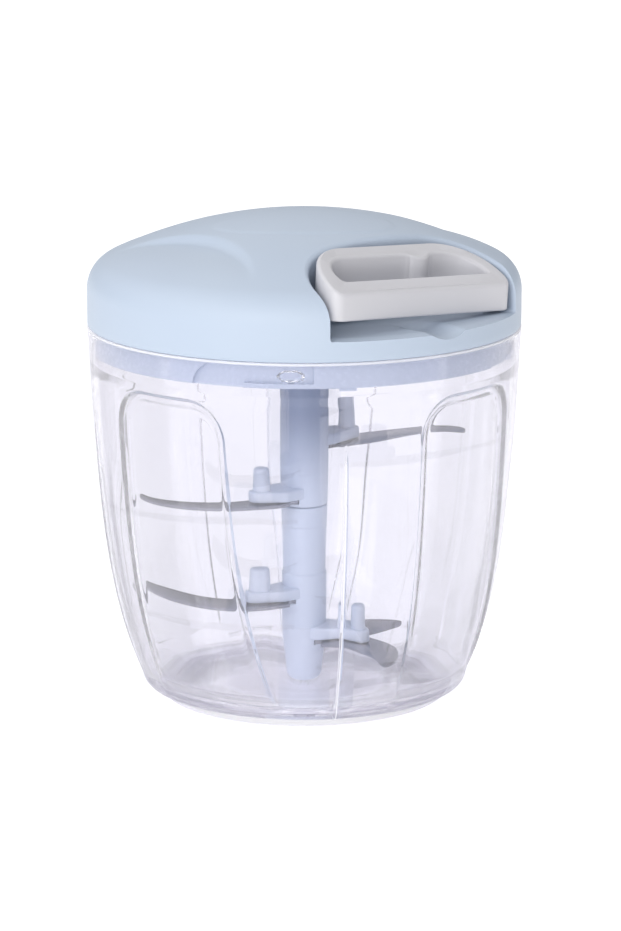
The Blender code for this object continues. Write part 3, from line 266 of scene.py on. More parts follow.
def turned(name, profile, material=None, sides=128, joined=False, angle=35.0):
    """Spins (radius, height) points round Z; a radius of 0 is a point on the axis."""
    rings = []
    for radius, z in profile:
        if radius < 1e-7:
            rings.append([Vector((0.0, 0.0, z))])
        else:
            rings.append([around(radius, 360.0 * i / sides, z) for i in range(sides)])
    return loft(name, rings, material, joined, angle)


def prism(name, outline, bottom, top, material=None):
    """An upright block with an outline of (x, y) points."""
    return loft(name, [[Vector((x, y, z)) for x, y in outline] for z in (bottom, top)], material)


def wrapped(name, outline, inner, outer):
    """Wraps a small (azimuth, height) outline round Z as a pad between two radii."""
    return loft(name, [[around(radius, azimuth, z) for azimuth, z in outline] for radius in (inner, outer)])


def band(name, columns, inner, outer):
    """Runs round Z through (azimuth, low, high) columns, between two radii."""
    rings = []
    for azimuth, low, high in columns:
        rings.append([around(inner, azimuth, low), around(outer, azimuth, low),
                      around(outer, azimuth, high), around(inner, azimuth, high)])
    return loft(name, rings)


def rod(name, start, end, radius, material=None, sides=48):
    """A cylinder between two points."""
    axis = (end - start).normalized()
    side = axis.orthogonal().normalized()
    other = axis.cross(side)
    rings = []
    for centre in (start, end):
        turns = [2.0 * math.pi * i / sides for i in range(sides)]
        rings.append([centre + radius * (math.cos(t) * side + math.sin(t) * other) for t in turns])
    return loft(name, rings, material)


def upright(name, spot, bottom, top, radius, sides=48):
    """An upright cylinder at a spot."""
    return rod(name, Vector((spot.x, spot.y, bottom)), Vector((spot.x, spot.y, top)), radius, None, sides)


def bake(obj, angle=35.0):
    """Turns the evaluated modifiers of an object into its mesh."""
    graph = bpy.context.evaluated_depsgraph_get()
    mesh = bpy.data.meshes.new_from_object(obj.evaluated_get(graph))
    old = obj.data
    obj.modifiers.clear()
    obj.data = mesh
    bpy.data.meshes.remove(old)
    shade(obj, angle)


def combine(target, tool, operation):
    """Joins or cuts a form with a tool, which is used up."""
    modifier = target.modifiers.new("cut", "BOOLEAN")
    modifier.operation = operation
    modifier.solver = "EXACT"
    modifier.object = tool
    bake(target)
    discard(tool)


def cut(target, *tools):
    """Takes the tools out of a form."""
    for tool in tools:
        combine(target, tool, "DIFFERENCE")


def fuse(target, *tools):
    """Adds the tools to a form."""
    for tool in tools:
        combine(target, tool, "UNION")


def gathered(forms):
    """Several forms that stand apart, as one object for a single cut or join."""
    bm = bmesh.new()
    for form in forms:
        bm.from_mesh(form.data)
        discard(form)
    mesh = bpy.data.meshes.new("gathered")
    bm.to_mesh(mesh)
    bm.free()
    return placed("gathered", mesh)


def softened(obj, width, segments=3):
    """Rounds the sharp edges of a simple form."""
    modifier = obj.modifiers.new("soften", "BEVEL")
    modifier.width = width
    modifier.segments = segments
    modifier.limit_method = "ANGLE"
    modifier.angle_limit = math.radians(25.0)
    bake(obj)
    return obj


def move(obj, matrix):
    """Moves the points of a form."""
    obj.data.transform(matrix)
    return obj


def arc(centre, radius, start, end, count):
    """Points on a circle arc in a plane, with angles in degrees."""
    points = []
    for i in range(count):
        angle = math.radians(start + (end - start) * i / (count - 1))
        points.append((centre[0] + radius * math.cos(angle), centre[1] + radius * math.sin(angle)))
    return points


def smooth_step(value):
    """Eases from 0 to 1."""
    value = np.clip(value, 0.0, 1.0)
    return value * value * (3.0 - 2.0 * value)


def stretches(*spans):
    """Evenly spaced values over spans of (low, high, count), leaving out each high."""
    return [value for low, high, count in spans for value in np.linspace(low, high, count, endpoint=False)]


def grid_rings(azimuths, radii, heights):
    """Rings of points round Z: one row of radii and heights for each ring."""
    turn = np.radians(azimuths)
    return [np.stack([r * np.sin(turn), -r * np.cos(turn), np.broadcast_to(z, turn.shape)], axis=1)
            for r, z in zip(radii, heights)]


# Bowl

def bowl_radius(z):
    """Outer radius of the round wall at a height, before flats and arches."""
    depth = BOWL_RIM_TOP - z
    return BOWL_RIM_RADIUS - BOWL_DRAFT * depth - BOWL_FLARE * (depth / BOWL_RIM_TOP) ** BOWL_FLARE_POWER


def facet_scale(offset, z):
    """Shrink of the round wall on the two flats beside each crease, which is blunted to a strip."""
    flat, widest_strip = 22.5, 1.25
    strip = widest_strip * float(smooth_step((CREASE_TOP - z) / 0.070))
    aside = np.maximum(np.abs(offset), strip)
    chord = math.cos(math.radians(flat / 2.0)) / np.cos(np.radians(aside - flat / 2.0))
    fade = smooth_step((CREASE_TOP - z) / 0.036)
    return np.where(aside > flat, 1.0, 1.0 + (chord - 1.0) * fade)


def arch_lean(z):
    """How far the right edge of an arch has moved out at a height, in degrees."""
    start, reach = 0.090, 0.0855
    down = min(max((start - z) / reach, 0.0), 1.0)
    return 4.5 * down + 8.0 * down ** 3


def arch_inside(offset, z):
    """How far inside its arch a point of the wall lies. The left edge is upright, the right one leans."""
    right = offset > 0.0
    from_left = np.where(right, offset, offset + 90.0) - ARCH_LEFT
    from_right = ARCH_RIGHT + arch_lean(z) - np.where(right, offset - 90.0, offset)
    side = np.radians(np.minimum(from_left, from_right)) * bowl_radius(z)
    below = ARCH_TOP - z
    corner = ARCH_CORNER - np.hypot(ARCH_CORNER - side, ARCH_CORNER - below)
    inside = np.where((side < ARCH_CORNER) & (below < ARCH_CORNER), corner, np.minimum(side, below))
    return np.minimum(inside, (z - ARCH_FOOT) * 0.8)


def lug_swell(offset, z):
    """Share of a bayonet lug's reach at a point of the rim's inside."""
    lug_offset = LUG_AZIMUTH - CREASE_AZIMUTH
    across = np.radians(offset - lug_offset) * RIM_INNER_RADIUS / (LUG_WIDTH / 2.0)
    up = (z - LUG_Z) / (LUG_HEIGHT / 2.0)
    return smooth_step((1.0 - np.hypot(across, up)) * LUG_HEIGHT / 2.0 / 0.00055)


def make_bowl(material):
    """The bowl as one skin: foot, wall, rim, inside and floor."""
    # azimuths from a crease, close together where a crease, a lug or the edge of an arch runs
    level = np.tile(np.array(stretches(
        (-45.0, -35.5, 12), (-35.5, -31.5, 16), (-31.5, -19.5, 9), (-19.5, -9.5, 22), (-9.5, -1.5, 5),
        (-1.5, 1.5, 18), (1.5, 20.4, 11), (20.4, 24.4, 16), (24.4, 34.0, 14), (34.0, 45.0, 8))), 4)
    follow = np.interp(level, [-45.0, -40.0, -26.0, -2.0], [0.0, 1.0, 1.0, 0.0])
    creases = CREASE_AZIMUTH + 90.0 * np.repeat(np.arange(4), len(level) // 4)

    def columns(z):
        return level + follow * arch_lean(z)

    def outer(z):
        offset = columns(z)
        width = 0.00028 + 0.00022 * (0.084 - z) / 0.080
        bead = BEAD_HEIGHT * np.exp(-(np.radians(offset) * bowl_radius(z) / width) ** 2)
        bead = bead * smooth_step((BEAD_TOP - z) / 0.004) * smooth_step((z - 0.004) / 0.004)
        step = ARCH_DEPTH * smooth_step(arch_inside(offset, z) / ARCH_EDGE)
        return bowl_radius(z) * facet_scale(offset, z) + bead - step

    def inner(z):
        offset = columns(z)
        land = smooth_step((z - (BOWL_RIM_TOP - RIM_LAND - 0.0022)) / 0.0026)
        near_floor = float(smooth_step((z - 0.0160) / 0.0180))
        wall = bowl_radius(z) - BOWL_WALL
        wall = wall * (1.0 + 0.7 * near_floor * (facet_scale(offset, z) - 1.0))
        wall = wall - INNER_STEP * near_floor * smooth_step((arch_inside(offset, z) - 0.0024) / ARCH_EDGE)
        wall = np.minimum(wall, RIM_INNER_RADIUS)
        return wall + (RIM_INNER_RADIUS - wall) * land - LUG_REACH * lug_swell(offset, z)

    wall_bottom = BOWL_UNDERSIDE + BOWL_FOOT_FILLET
    foot = bowl_radius(wall_bottom)
    rib = foot - FOOT_RIB_INSET
    rib_bottom = BOWL_UNDERSIDE - FOOT_RIB_DEPTH
    under = [(0.005, BOWL_UNDERSIDE), (rib - FOOT_RIB_THICKNESS, BOWL_UNDERSIDE),
             (rib - FOOT_RIB_THICKNESS, rib_bottom), (rib, rib_bottom), (rib, BOWL_UNDERSIDE),
             (foot - 1.5 * BOWL_FOOT_FILLET, BOWL_UNDERSIDE)]
    rows = rounded(under, 0.0004, closed=False, steps=2)
    rows += arc((foot - BOWL_FOOT_FILLET, wall_bottom), BOWL_FOOT_FILLET, -88.0, -18.0, 8)
    rim_round = 0.0005
    rows += [(outer(z), z) for z in stretches(
        (wall_bottom, 0.0125, 7), (0.0125, 0.0868, 24), (0.0868, 0.0972, 17), (0.0972, 0.0990, 7),
        (0.0990, BOWL_RIM_TOP - rim_round, 6))]
    rows += arc((BOWL_RIM_RADIUS - rim_round, BOWL_RIM_TOP - rim_round), rim_round, 0.0, 90.0, 4)
    rows += arc((RIM_INNER_RADIUS + rim_round, BOWL_RIM_TOP - rim_round), rim_round, 90.0, 180.0, 4)
    floor_corner = 0.0140
    rows += [(inner(z), z) for z in stretches(
        (BOWL_RIM_TOP - 0.0010, 0.1035, 16), (0.1035, 0.1003, 8), (0.1003, 0.0968, 2), (0.0968, 0.0948, 8),
        (0.0948, 0.0845, 14), (0.0845, floor_corner, 24))]
    rise = floor_corner - BOWL_FLOOR
    edge = inner(floor_corner)
    for turn in range(1, 8):
        angle = math.radians(90.0 * turn / 8.0)
        rows.append((edge - 0.9 * rise * (1.0 - math.cos(angle)), floor_corner - rise * math.sin(angle)))
    rows.append((float(edge.min()) - 0.95 * rise - 0.001, BOWL_FLOOR))
    hole = PIVOT_RADIUS + GAP
    rows += rounded([(PIVOT_BOSS_RADIUS * 1.6, BOWL_FLOOR), (PIVOT_BOSS_RADIUS * 1.1, BOWL_FLOOR),
                     (PIVOT_BOSS_RADIUS, BOSS_TOP), (hole, BOSS_TOP), (hole, PIVOT_FOOT - GAP)],
                    0.0003, closed=False, steps=2)
    rings = [grid_rings(creases + columns(z), [radius], [z])[0] for radius, z in rows]
    rings = [[Vector((0.0, 0.0, BOWL_UNDERSIDE))]] + rings + [[Vector((0.0, 0.0, PIVOT_FOOT - GAP))]]
    return loft("bowl_clear", rings, material)


def make_base_ring(material):
    """The non-slip ring, with a groove for the bowl's foot rib."""
    foot = bowl_radius(BOWL_UNDERSIDE + BOWL_FOOT_FILLET)
    rib = foot - FOOT_RIB_INSET
    height = BOWL_UNDERSIDE - GAP
    groove_inner = rib - FOOT_RIB_THICKNESS - GAP
    groove_outer = rib + GAP
    groove_floor = BOWL_UNDERSIDE - FOOT_RIB_DEPTH - GAP
    bore = groove_inner - 0.0020
    flange = rib + 0.0050
    sole = flange - 0.0039
    profile = [(bore, 0.0), (sole, 0.0), (sole + 0.0024, 0.0006), (flange, height - 0.0004),
               (flange, height), (groove_outer, height), (groove_outer, groove_floor),
               (groove_inner, groove_floor), (groove_inner, height), (bore, height)]
    return turned("base_ring_soft", rounded(profile, 0.0004), material, 192, joined=True)


def make_pivot_pin(material):
    """The steel pin in the middle of the bowl's floor."""
    profile = [(0.0, PIVOT_FOOT), (PIVOT_RADIUS, PIVOT_FOOT), (PIVOT_RADIUS, PIVOT_TOP - PIVOT_RADIUS / 2.0),
               (PIVOT_RADIUS / 2.0, PIVOT_TOP), (0.0, PIVOT_TOP)]
    return turned("pivot_pin_turned", rounded(profile, 0.0003, closed=False), material, 48)


# Lid

def crown_height(radius):
    """Height of the plain domed lid at a radius: crown, then a tangent shoulder."""
    tangent = CROWN_RADIUS * SHOULDER_REACH / (CROWN_RADIUS - SHOULDER_RADIUS)
    reach = np.clip(radius - SHOULDER_REACH, 0.0, SHOULDER_RADIUS)
    crown = CROWN_CENTRE + np.sqrt(np.maximum(0.0, CROWN_RADIUS ** 2 - np.minimum(radius, CROWN_RADIUS) ** 2))
    shoulder = SHOULDER_CENTRE + np.sqrt(np.maximum(0.0, SHOULDER_RADIUS ** 2 - reach ** 2))
    return np.where(radius <= tangent, crown, shoulder)


def lid_depth(x, y, z):
    """How deep a point lies under the lid's outer skin; less than 0 is outside."""
    radius = np.hypot(x, y)
    crown = CROWN_RADIUS - np.hypot(radius, z - CROWN_CENTRE)
    shoulder = SHOULDER_RADIUS - np.hypot(np.maximum(0.0, radius - SHOULDER_REACH), z - SHOULDER_CENTRE)
    on_shoulder = (radius - SHOULDER_REACH) * 0.9 > (z - SHOULDER_CENTRE) * 0.43
    upper = np.where((radius > SHOULDER_REACH) & on_shoulder, shoulder, crown)
    return np.where(z < SHOULDER_CENTRE, np.minimum(LID_RADIUS - radius, crown), upper)


def scallop_drop(x, y):
    """How far the grip scallops lower the dome."""
    radius = np.hypot(x, y)
    start, curve, depth = 0.0322, 0.0560, 0.0021
    fade = 1.0 - smooth_step((radius - start) / 0.0238)
    drop = np.zeros_like(radius)
    for turn in (-91.0, 180.0, 89.0):
        centre = around(start + curve, PULL_AZIMUTH + turn, 0.0)
        inside = curve - np.hypot(x - centre.x, y - centre.y)
        drop = np.maximum(drop, depth * smooth_step(inside / 0.0026) * fade)
    return drop


def plaque_rise(x, y):
    """The bare oval plaque stands a hair above the crown round it."""
    half_length, half_depth, setback = 0.0260, 0.0160, 0.0090
    inside = (1.0 - np.hypot(x / half_length, (y + setback) / half_depth)) * half_depth
    return smooth_step(inside / 0.0006)


def dome(x, y):
    """Height of the lid's skin, with its scallops and its plaque."""
    radius = np.hypot(x, y)
    lowered = 0.00022 * (1.0 - plaque_rise(x, y)) * (1.0 - smooth_step((radius - 0.030) / 0.022))
    return crown_height(radius) - scallop_drop(x, y) - lowered


def outer_dome():
    """The lid as one solid, from its edge to its crown."""
    count = 480
    azimuths = np.arange(count) * 360.0 / count
    edge_round = 0.0005
    radii = [LID_RADIUS - edge_round * (1.0 - math.sin(math.radians(a))) for a in (0.0, 30.0, 60.0, 90.0)]
    rises = [edge_round * (1.0 - math.cos(math.radians(a))) for a in (0.0, 30.0, 60.0, 90.0)]
    rings = grid_rings(azimuths, radii, [LID_EDGE + rise for rise in rises])
    wall_top = float(crown_height(np.array(LID_RADIUS)))
    for z in np.linspace(LID_EDGE + edge_round, wall_top, 7)[1:-1]:
        rings += grid_rings(azimuths, [LID_RADIUS], [z])
    steps = [LID_RADIUS - SHOULDER_RADIUS * (1.0 - math.cos(math.radians(a)))
             for a in np.linspace(0.0, 62.0, 15)]
    steps += list(np.linspace(steps[-1], 0.0012, 76))[1:]
    turn = np.radians(azimuths)
    for radius in steps:
        x, y = radius * np.sin(turn), -radius * np.cos(turn)
        rings.append(np.stack([x, y, dome(x, y)], axis=1))
    zero = np.zeros(1)
    rings.append([Vector((0.0, 0.0, float(dome(zero, zero)[0])))])
    return loft("lid_dome", rings)


def lid_cavity():
    """The space inside the lid, one wall in from the dome."""
    below = LID_EDGE - LID_WALL
    inner = LID_RADIUS - LID_WALL
    sink = LID_WALL + 0.0021
    profile = [(0.0, below), (inner, below), (inner, float(crown_height(LID_RADIUS)) - LID_WALL / 2.0)]
    for step in (0.97, 0.90, 0.81, 0.66, 0.46, 0.23):
        profile.append((inner * step, float(crown_height(inner * step + LID_WALL / 2.0)) - sink))
    profile.append((0.0, LID_TOP - sink))
    return turned("cavity", profile, None, 72)


def pocket_plan(grow=0.0):
    """Points of the pocket's outline with their outward directions, in the pull frame."""
    back, half = POCKET_BACK - grow, POCKET_HALF_WIDTH + grow
    corner, front = POCKET_CORNER + grow, 1.2 * LID_RADIUS
    points, normals = [], []
    for x, y in arc((0.0, 0.0), 1.0, 90.0, 180.0, 22):
        points.append((back + corner + corner * x, half - corner + corner * y))
        normals.append((x, y))
    straight = half - corner
    for y in np.linspace(straight, -straight, 26)[1:-1]:
        points.append((back, y))
        normals.append((-1.0, 0.0))
    for x, y in arc((0.0, 0.0), 1.0, 180.0, 270.0, 22):
        points.append((back + corner + corner * x, corner - half + corner * y))
        normals.append((x, y))
    sides = list(np.linspace(back + corner, front, 34))[1:]
    points += [(x, -half) for x in sides]
    normals += [(0.0, -1.0)] * len(sides)
    across = np.linspace(0.0020 - half, half - 0.0020, 76)
    points += [(front, y) for y in across]
    normals += [(0.0, 0.0)] * len(across)
    points += [(x, half) for x in reversed(sides)]
    normals += [(0.0, 1.0)] * len(sides)
    return np.array(points), np.array(normals)


def lip(depth, radius):
    """Sideways give of a wall near the lid's skin, which rolls its edge over."""
    kept = np.maximum(depth, 0.08 * radius)
    roll = radius - np.sqrt(np.maximum(0.0, radius ** 2 - np.maximum(0.0, radius - kept) ** 2))
    beyond = np.clip(0.08 * radius - depth, 0.0, 0.0012)
    return roll + 2.35 * beyond


def pocket_floor(x, y):
    """The pocket's floor with its finger scoop, rolled over at the lid's front."""
    radius = 0.0120
    hollow = np.sqrt(np.maximum(0.0, radius ** 2 - y ** 2)) - (radius - 0.0018)
    fade = smooth_step((x - (LID_RADIUS - 0.0190)) / 0.0050)
    depth = LID_RADIUS - np.hypot(x, y)
    edge_drop = 0.0005 * smooth_step((0.0030 - depth) / 0.0030)
    return POCKET_FLOOR - np.maximum(0.0, hollow) * fade - edge_drop


def pocket_cutter():
    """The space of the handle's pocket, flared where it meets the lid's skin."""
    plan, normal = pocket_plan()
    x, y = plan[:, 0], plan[:, 1]
    floor = pocket_floor(x, y)
    radius = np.hypot(x, y)
    surface = np.where(radius < LID_RADIUS, crown_height(radius), crown_height(np.array(LID_RADIUS)))
    lip_radius, corner = 0.0014, 0.0011
    rings = []
    centre = np.array([0.0460, 0.0])
    for share in list(np.linspace(0.04, 0.94, 24)):
        inner = centre + (plan - normal * corner - centre) * share
        rings.append(np.stack([inner[:, 0], inner[:, 1], pocket_floor(inner[:, 0], inner[:, 1])], axis=1))

    def level(z, inset):
        give = lip(lid_depth(x, y, z), lip_radius) - inset
        rings.append(np.stack([x + normal[:, 0] * give, y + normal[:, 1] * give, z], axis=1))

    for angle in np.radians([0.0, 22.0, 44.0, 66.0, 90.0]):
        level(floor + corner * (1.0 - np.cos(angle)), corner * (1.0 - np.sin(angle)))
    start = floor + corner
    stop = surface - 1.4 * lip_radius
    for share in np.linspace(0.0, 1.0, 7)[1:]:
        level(start + (stop - start) * share, 0.0)
    for share in np.linspace(0.0, 1.0, 14)[1:]:
        level(stop + (1.4 * lip_radius + 0.0008) * share, 0.0)
    level(surface + 0.0025, 0.0)
    level(np.full_like(x, 1.06 * LID_TOP), 0.0)
    rings.insert(0, [Vector((centre[0], centre[1], float(pocket_floor(centre[:1], centre[1:])[0])))])
    return move(loft("pocket", rings), PULL_FRAME)


def screw_spots():
    """Where the cover's screws stand, at height 0."""
    return [around(SCREW_CIRCLE, PULL_AZIMUTH + turn, 0.0) for turn in SCREW_TURNS]


def screw_columns(name, bottom, top, radius):
    """An upright cylinder at each of the cover's screws."""
    return [upright(name, spot, bottom, top, radius) for spot in screw_spots()]


def make_lid_shell(material):
    """The domed shell, hollowed, with its bosses, post, pocket, holes and the seal's groove."""
    shell = outer_dome()
    shell.name = "lid_shell_moulded"
    shell.data.materials.append(material)
    above, below = 1.1 * LID_TOP, 0.9 * LID_EDGE
    centre = Vector((0.0, 0.0, 0.0))
    plan, _ = pocket_plan(POCKET_WALL)
    cavity = lid_cavity()
    housing = prism("housing", [tuple(p) for p in plan], POCKET_FLOOR - POCKET_WALL, above)
    cut(cavity, move(housing, PULL_FRAME))
    columns = screw_columns("boss", below, above, SCREW_BOSS_RADIUS)
    cut(cavity, gathered(columns + [upright("post", centre, below, above, POST_RADIUS)]))
    cut(shell, cavity)
    columns = screw_columns("boss", DISC_BOTTOM, POCKET_FLOOR - POCKET_WALL / 2.0, SCREW_BOSS_RADIUS)
    post_foot = DISC_BOTTOM + DISC_THICKNESS + 2.0 * GAP
    columns.append(upright("post", centre, post_foot, POCKET_FLOOR, POST_RADIUS))
    fuse(shell, gathered(columns))
    cut(shell, pocket_cutter())
    hole_top = COVER_PLATE_BOTTOM - GAP + SCREW_LENGTH + GAP
    holes = screw_columns("screw_hole", below, hole_top, SCREW_RADIUS + GAP)
    start = Vector((POCKET_BACK - 2.0 * POCKET_WALL, CORD_OFFSET, CORD_HEIGHT))
    end = Vector((POCKET_BACK + POCKET_WALL, CORD_OFFSET, CORD_HEIGHT))
    holes.append(move(rod("guide_hole", start, end, GUIDE_RADIUS + GAP), PULL_FRAME))
    cut(shell, gathered(holes))
    seal_outer = LID_RADIUS - SEAL_INSET
    seal_top = BOWL_RIM_TOP + GAP + SEAL_HEIGHT + GAP
    inside = LID_RADIUS - 1.5 * LID_WALL
    groove = [(inside, below), (seal_outer, below), (seal_outer, seal_top), (inside, seal_top)]
    cut(shell, turned("groove", groove, None, 240, joined=True))
    return shell


def make_cord_guide(material):
    """Flanged eyelet that the cord runs through."""
    bore = CORD_RADIUS + CORD_HOLE_GAP
    face = POCKET_BACK + GAP
    flange = GUIDE_RADIUS + 0.0012
    profile = [(bore, POCKET_BACK - 1.3 * POCKET_WALL), (GUIDE_RADIUS, POCKET_BACK - 1.3 * POCKET_WALL),
               (GUIDE_RADIUS, face), (flange, face), (flange, face + 0.0005),
               (flange - 0.0004, face + 0.0008), (bore + 0.0004, face + 0.0008), (bore, face + 0.0004)]
    guide = turned("cord_guide_eyelet", rounded(profile, 0.0002), material, 48, joined=True)
    place = Matrix.Translation((0.0, CORD_OFFSET, CORD_HEIGHT)) @ Matrix.Rotation(math.radians(90.0), 4, "Y")
    return move(guide, PULL_FRAME @ place)


def slot_cutter(azimuth):
    """Bayonet slot: a curved lead-in from below, a run above the rail and a stop."""
    rail_top = LUG_Z - LUG_HEIGHT / 2.0 - 0.0004
    slot_top = LUG_Z + LUG_HEIGHT / 2.0 + 0.0017
    below = COVER_BOTTOM - 0.0016
    rail_start, stop = -16.4, 2.1
    columns = []
    for i in range(17):
        turn = math.radians(90.0 - 90.0 * i / 16.0)
        columns.append((-30.6 + 8.6 * (1.0 - math.sin(turn)), below,
                        COVER_BOTTOM + (slot_top - COVER_BOTTOM) * math.cos(turn)))
    columns += [(-18.5, below, slot_top), (rail_start, below, slot_top)]
    columns += [(rail_start + 0.4 * i / 4.0, below + (rail_top - below) * i / 4.0, slot_top)
                for i in range(1, 5)]
    columns += [(turn, rail_top, slot_top) for turn in np.linspace(-15.0, stop, 15)]
    for t in np.radians([30.0, 60.0, 88.0]):
        give = 0.0008 * (1 - math.cos(t))
        columns.append((stop + 0.4 * math.sin(t), rail_top + give, slot_top - give))
    columns = [(azimuth + turn, low, high) for turn, low, high in columns]
    return band("slot", columns, RIM_INNER_RADIUS - LUG_REACH - 0.0004, BOWL_RIM_RADIUS)


def cover_tab(azimuth):
    """Short tab under the skirt."""
    half_width, half_height = 0.0024, 0.0008
    span = math.degrees(half_width / COVER_RADIUS)
    low, high = COVER_BOTTOM - half_height, COVER_BOTTOM + half_height
    outline = [(azimuth - span, low), (azimuth + span, low), (azimuth + span, high), (azimuth - span, high)]
    return wrapped("tab", outline, COVER_RADIUS - COVER_SKIRT / 2.0, COVER_RADIUS - COVER_SKIRT / 4.0)


def make_inner_cover(material):
    """Plate that closes the lid, with the bayonet skirt and a plug into the shell."""
    skirt_inner = COVER_RADIUS - COVER_SKIRT
    plug = COVER_RADIUS - PLUG_INSET
    plate_top = COVER_PLATE_BOTTOM + COVER_PLATE
    skirt_top = BOWL_RIM_TOP - GAP
    hole = SOCKET_RADIUS + 2.0 * GAP
    profile = [(hole, COVER_PLATE_BOTTOM), (skirt_inner, COVER_PLATE_BOTTOM), (skirt_inner, COVER_BOTTOM),
               (COVER_RADIUS, COVER_BOTTOM), (COVER_RADIUS, skirt_top), (plug, skirt_top),
               (plug, COVER_PLUG_TOP), (skirt_inner, COVER_PLUG_TOP), (skirt_inner, plate_top),
               (hole, plate_top)]
    cover = turned("inner_cover_moulded", rounded(profile, 0.0004), material, 240, joined=True)
    first_tab = 11.6
    cut(cover, gathered([slot_cutter(90.0 * i) for i in range(4)]))
    fuse(cover, gathered([cover_tab(first_tab + 90.0 * i) for i in range(4)]))
    cut(cover, gathered(screw_columns("screw_hole", COVER_BOTTOM, BOWL_RIM_TOP, SCREW_RADIUS + GAP)))
    return cover


def make_seal_ring(material):
    """Soft ring with a ridge under it, between the bowl's rim and the lid."""
    inner = COVER_RADIUS - PLUG_INSET + GAP
    outer = LID_RADIUS - SEAL_INSET - GAP
    bottom = BOWL_RIM_TOP + GAP
    middle = (inner + outer) / 2.0
    profile = [(inner, bottom + 0.0004), (middle, bottom), (outer, bottom + 0.0004),
               (outer, bottom + SEAL_HEIGHT), (inner, bottom + SEAL_HEIGHT)]
    return turned("seal_ring_soft", rounded(profile, 0.0003), material, 192, joined=True)


# Reel, spring and socket

def make_reel(material):
    """The drum with its flange, on a cup that houses the spring."""
    bore = POST_RADIUS + GAP
    core = CORD_OFFSET - CORD_RADIUS - GAP
    cup = REEL_RADIUS - REEL_WALL
    top = CORD_HEIGHT + CORD_PITCH * CORD_TURNS + CORD_RADIUS + GAP
    flange = CORD_OFFSET + CORD_RADIUS + REEL_FLANGE
    profile = [(bore, REEL_CEILING), (cup, REEL_CEILING), (cup, DISC_BOTTOM), (REEL_RADIUS, DISC_BOTTOM),
               (REEL_RADIUS, REEL_ROOF), (core, REEL_ROOF), (core, top), (flange, top),
               (flange, top + REEL_FLANGE_THICKNESS), (bore, top + REEL_FLANGE_THICKNESS)]
    return turned("cord_reel_moulded", rounded(profile, 0.0003), material, 120, joined=True)


def hexagon(name, across_flats, bottom, top):
    """An upright hexagonal block."""
    return prism(name, arc((0.0, 0.0), across_flats / math.sqrt(3.0), 0.0, 300.0, 6), bottom, top)


def make_drive_socket(material):
    """The socket for the shaft's head, under the disc that closes the spring's cup."""
    outer = REEL_RADIUS - REEL_WALL - GAP
    disc_top = DISC_BOTTOM + DISC_THICKNESS
    profile = [(0.0, SOCKET_BOTTOM), (SOCKET_RADIUS, SOCKET_BOTTOM), (SOCKET_RADIUS, DISC_BOTTOM),
               (outer, DISC_BOTTOM), (outer, disc_top), (0.0, disc_top)]
    socket = turned("drive_socket_moulded", rounded(profile, 0.0004, closed=False), material, 96)
    cut(socket, hexagon("socket_hole", HEX_ACROSS_FLATS + 2.0 * GAP, UPPER_HUB_TOP, DISC_BOTTOM + 2.0 * GAP))
    return socket


# Handle

def handle_top(x):
    """Height of the handle's top surface, which follows the lid's dome."""
    out = x - HANDLE_BACK
    return LID_TOP - HANDLE_SINK - 0.345 * out - 0.12 * out * out / (HANDLE_FRONT - HANDLE_BACK)


def d_outline(back, front, half_width, corner, front_corner, steps, spine):
    """A D in plan: broad round corners at the back, extra points on it, a straight front."""
    points = arc((back + corner, half_width - corner), corner, 90.0, 180.0, steps)
    points += [(back, side) for side in spine]
    points += arc((back + corner, corner - half_width), corner, 180.0, 270.0, steps)
    points += arc((front - front_corner, front_corner - half_width), front_corner, 270.0, 360.0, 10)
    middle = half_width - front_corner
    points += [(front, y) for y in np.linspace(-middle, middle, 14)[1:-1]]
    points += arc((front - front_corner, half_width - front_corner), front_corner, 0.0, 90.0, 10)
    return points


def handle_section(outer, inner):
    """Section of the loop between its outer and inner outlines, with rounded edges."""
    outside, inside = Vector((*outer, 0.0)), Vector((*inner, 0.0))
    across = (inside - outside).normalized()
    edge, foot = min(0.0013, (inside - outside).length / 3.0), 0.0007

    def wall(base, inward):
        """One side, from its foot to its top edge."""
        top = handle_top(base.x)
        side = [(base, inward * foot * (1.0 - math.sin(t)), HANDLE_BOTTOM + foot * (1.0 - math.cos(t)))
                for t in np.radians(np.linspace(0.0, 90.0, 4))]
        side += [(base, 0.0, HANDLE_BOTTOM + foot + (top - edge - HANDLE_BOTTOM - foot) * share)
                 for share in (0.3, 0.6, 0.85)]
        side += [(base, inward * edge * (1.0 - math.cos(t)), top - edge * (1.0 - math.sin(t)))
                 for t in np.radians(np.linspace(0.0, 90.0, 7))]
        return side

    points = wall(outside, 1.0) + wall(inside, -1.0)[::-1]
    return [base + across * shift + Vector((0.0, 0.0, z)) for base, shift, z in points]


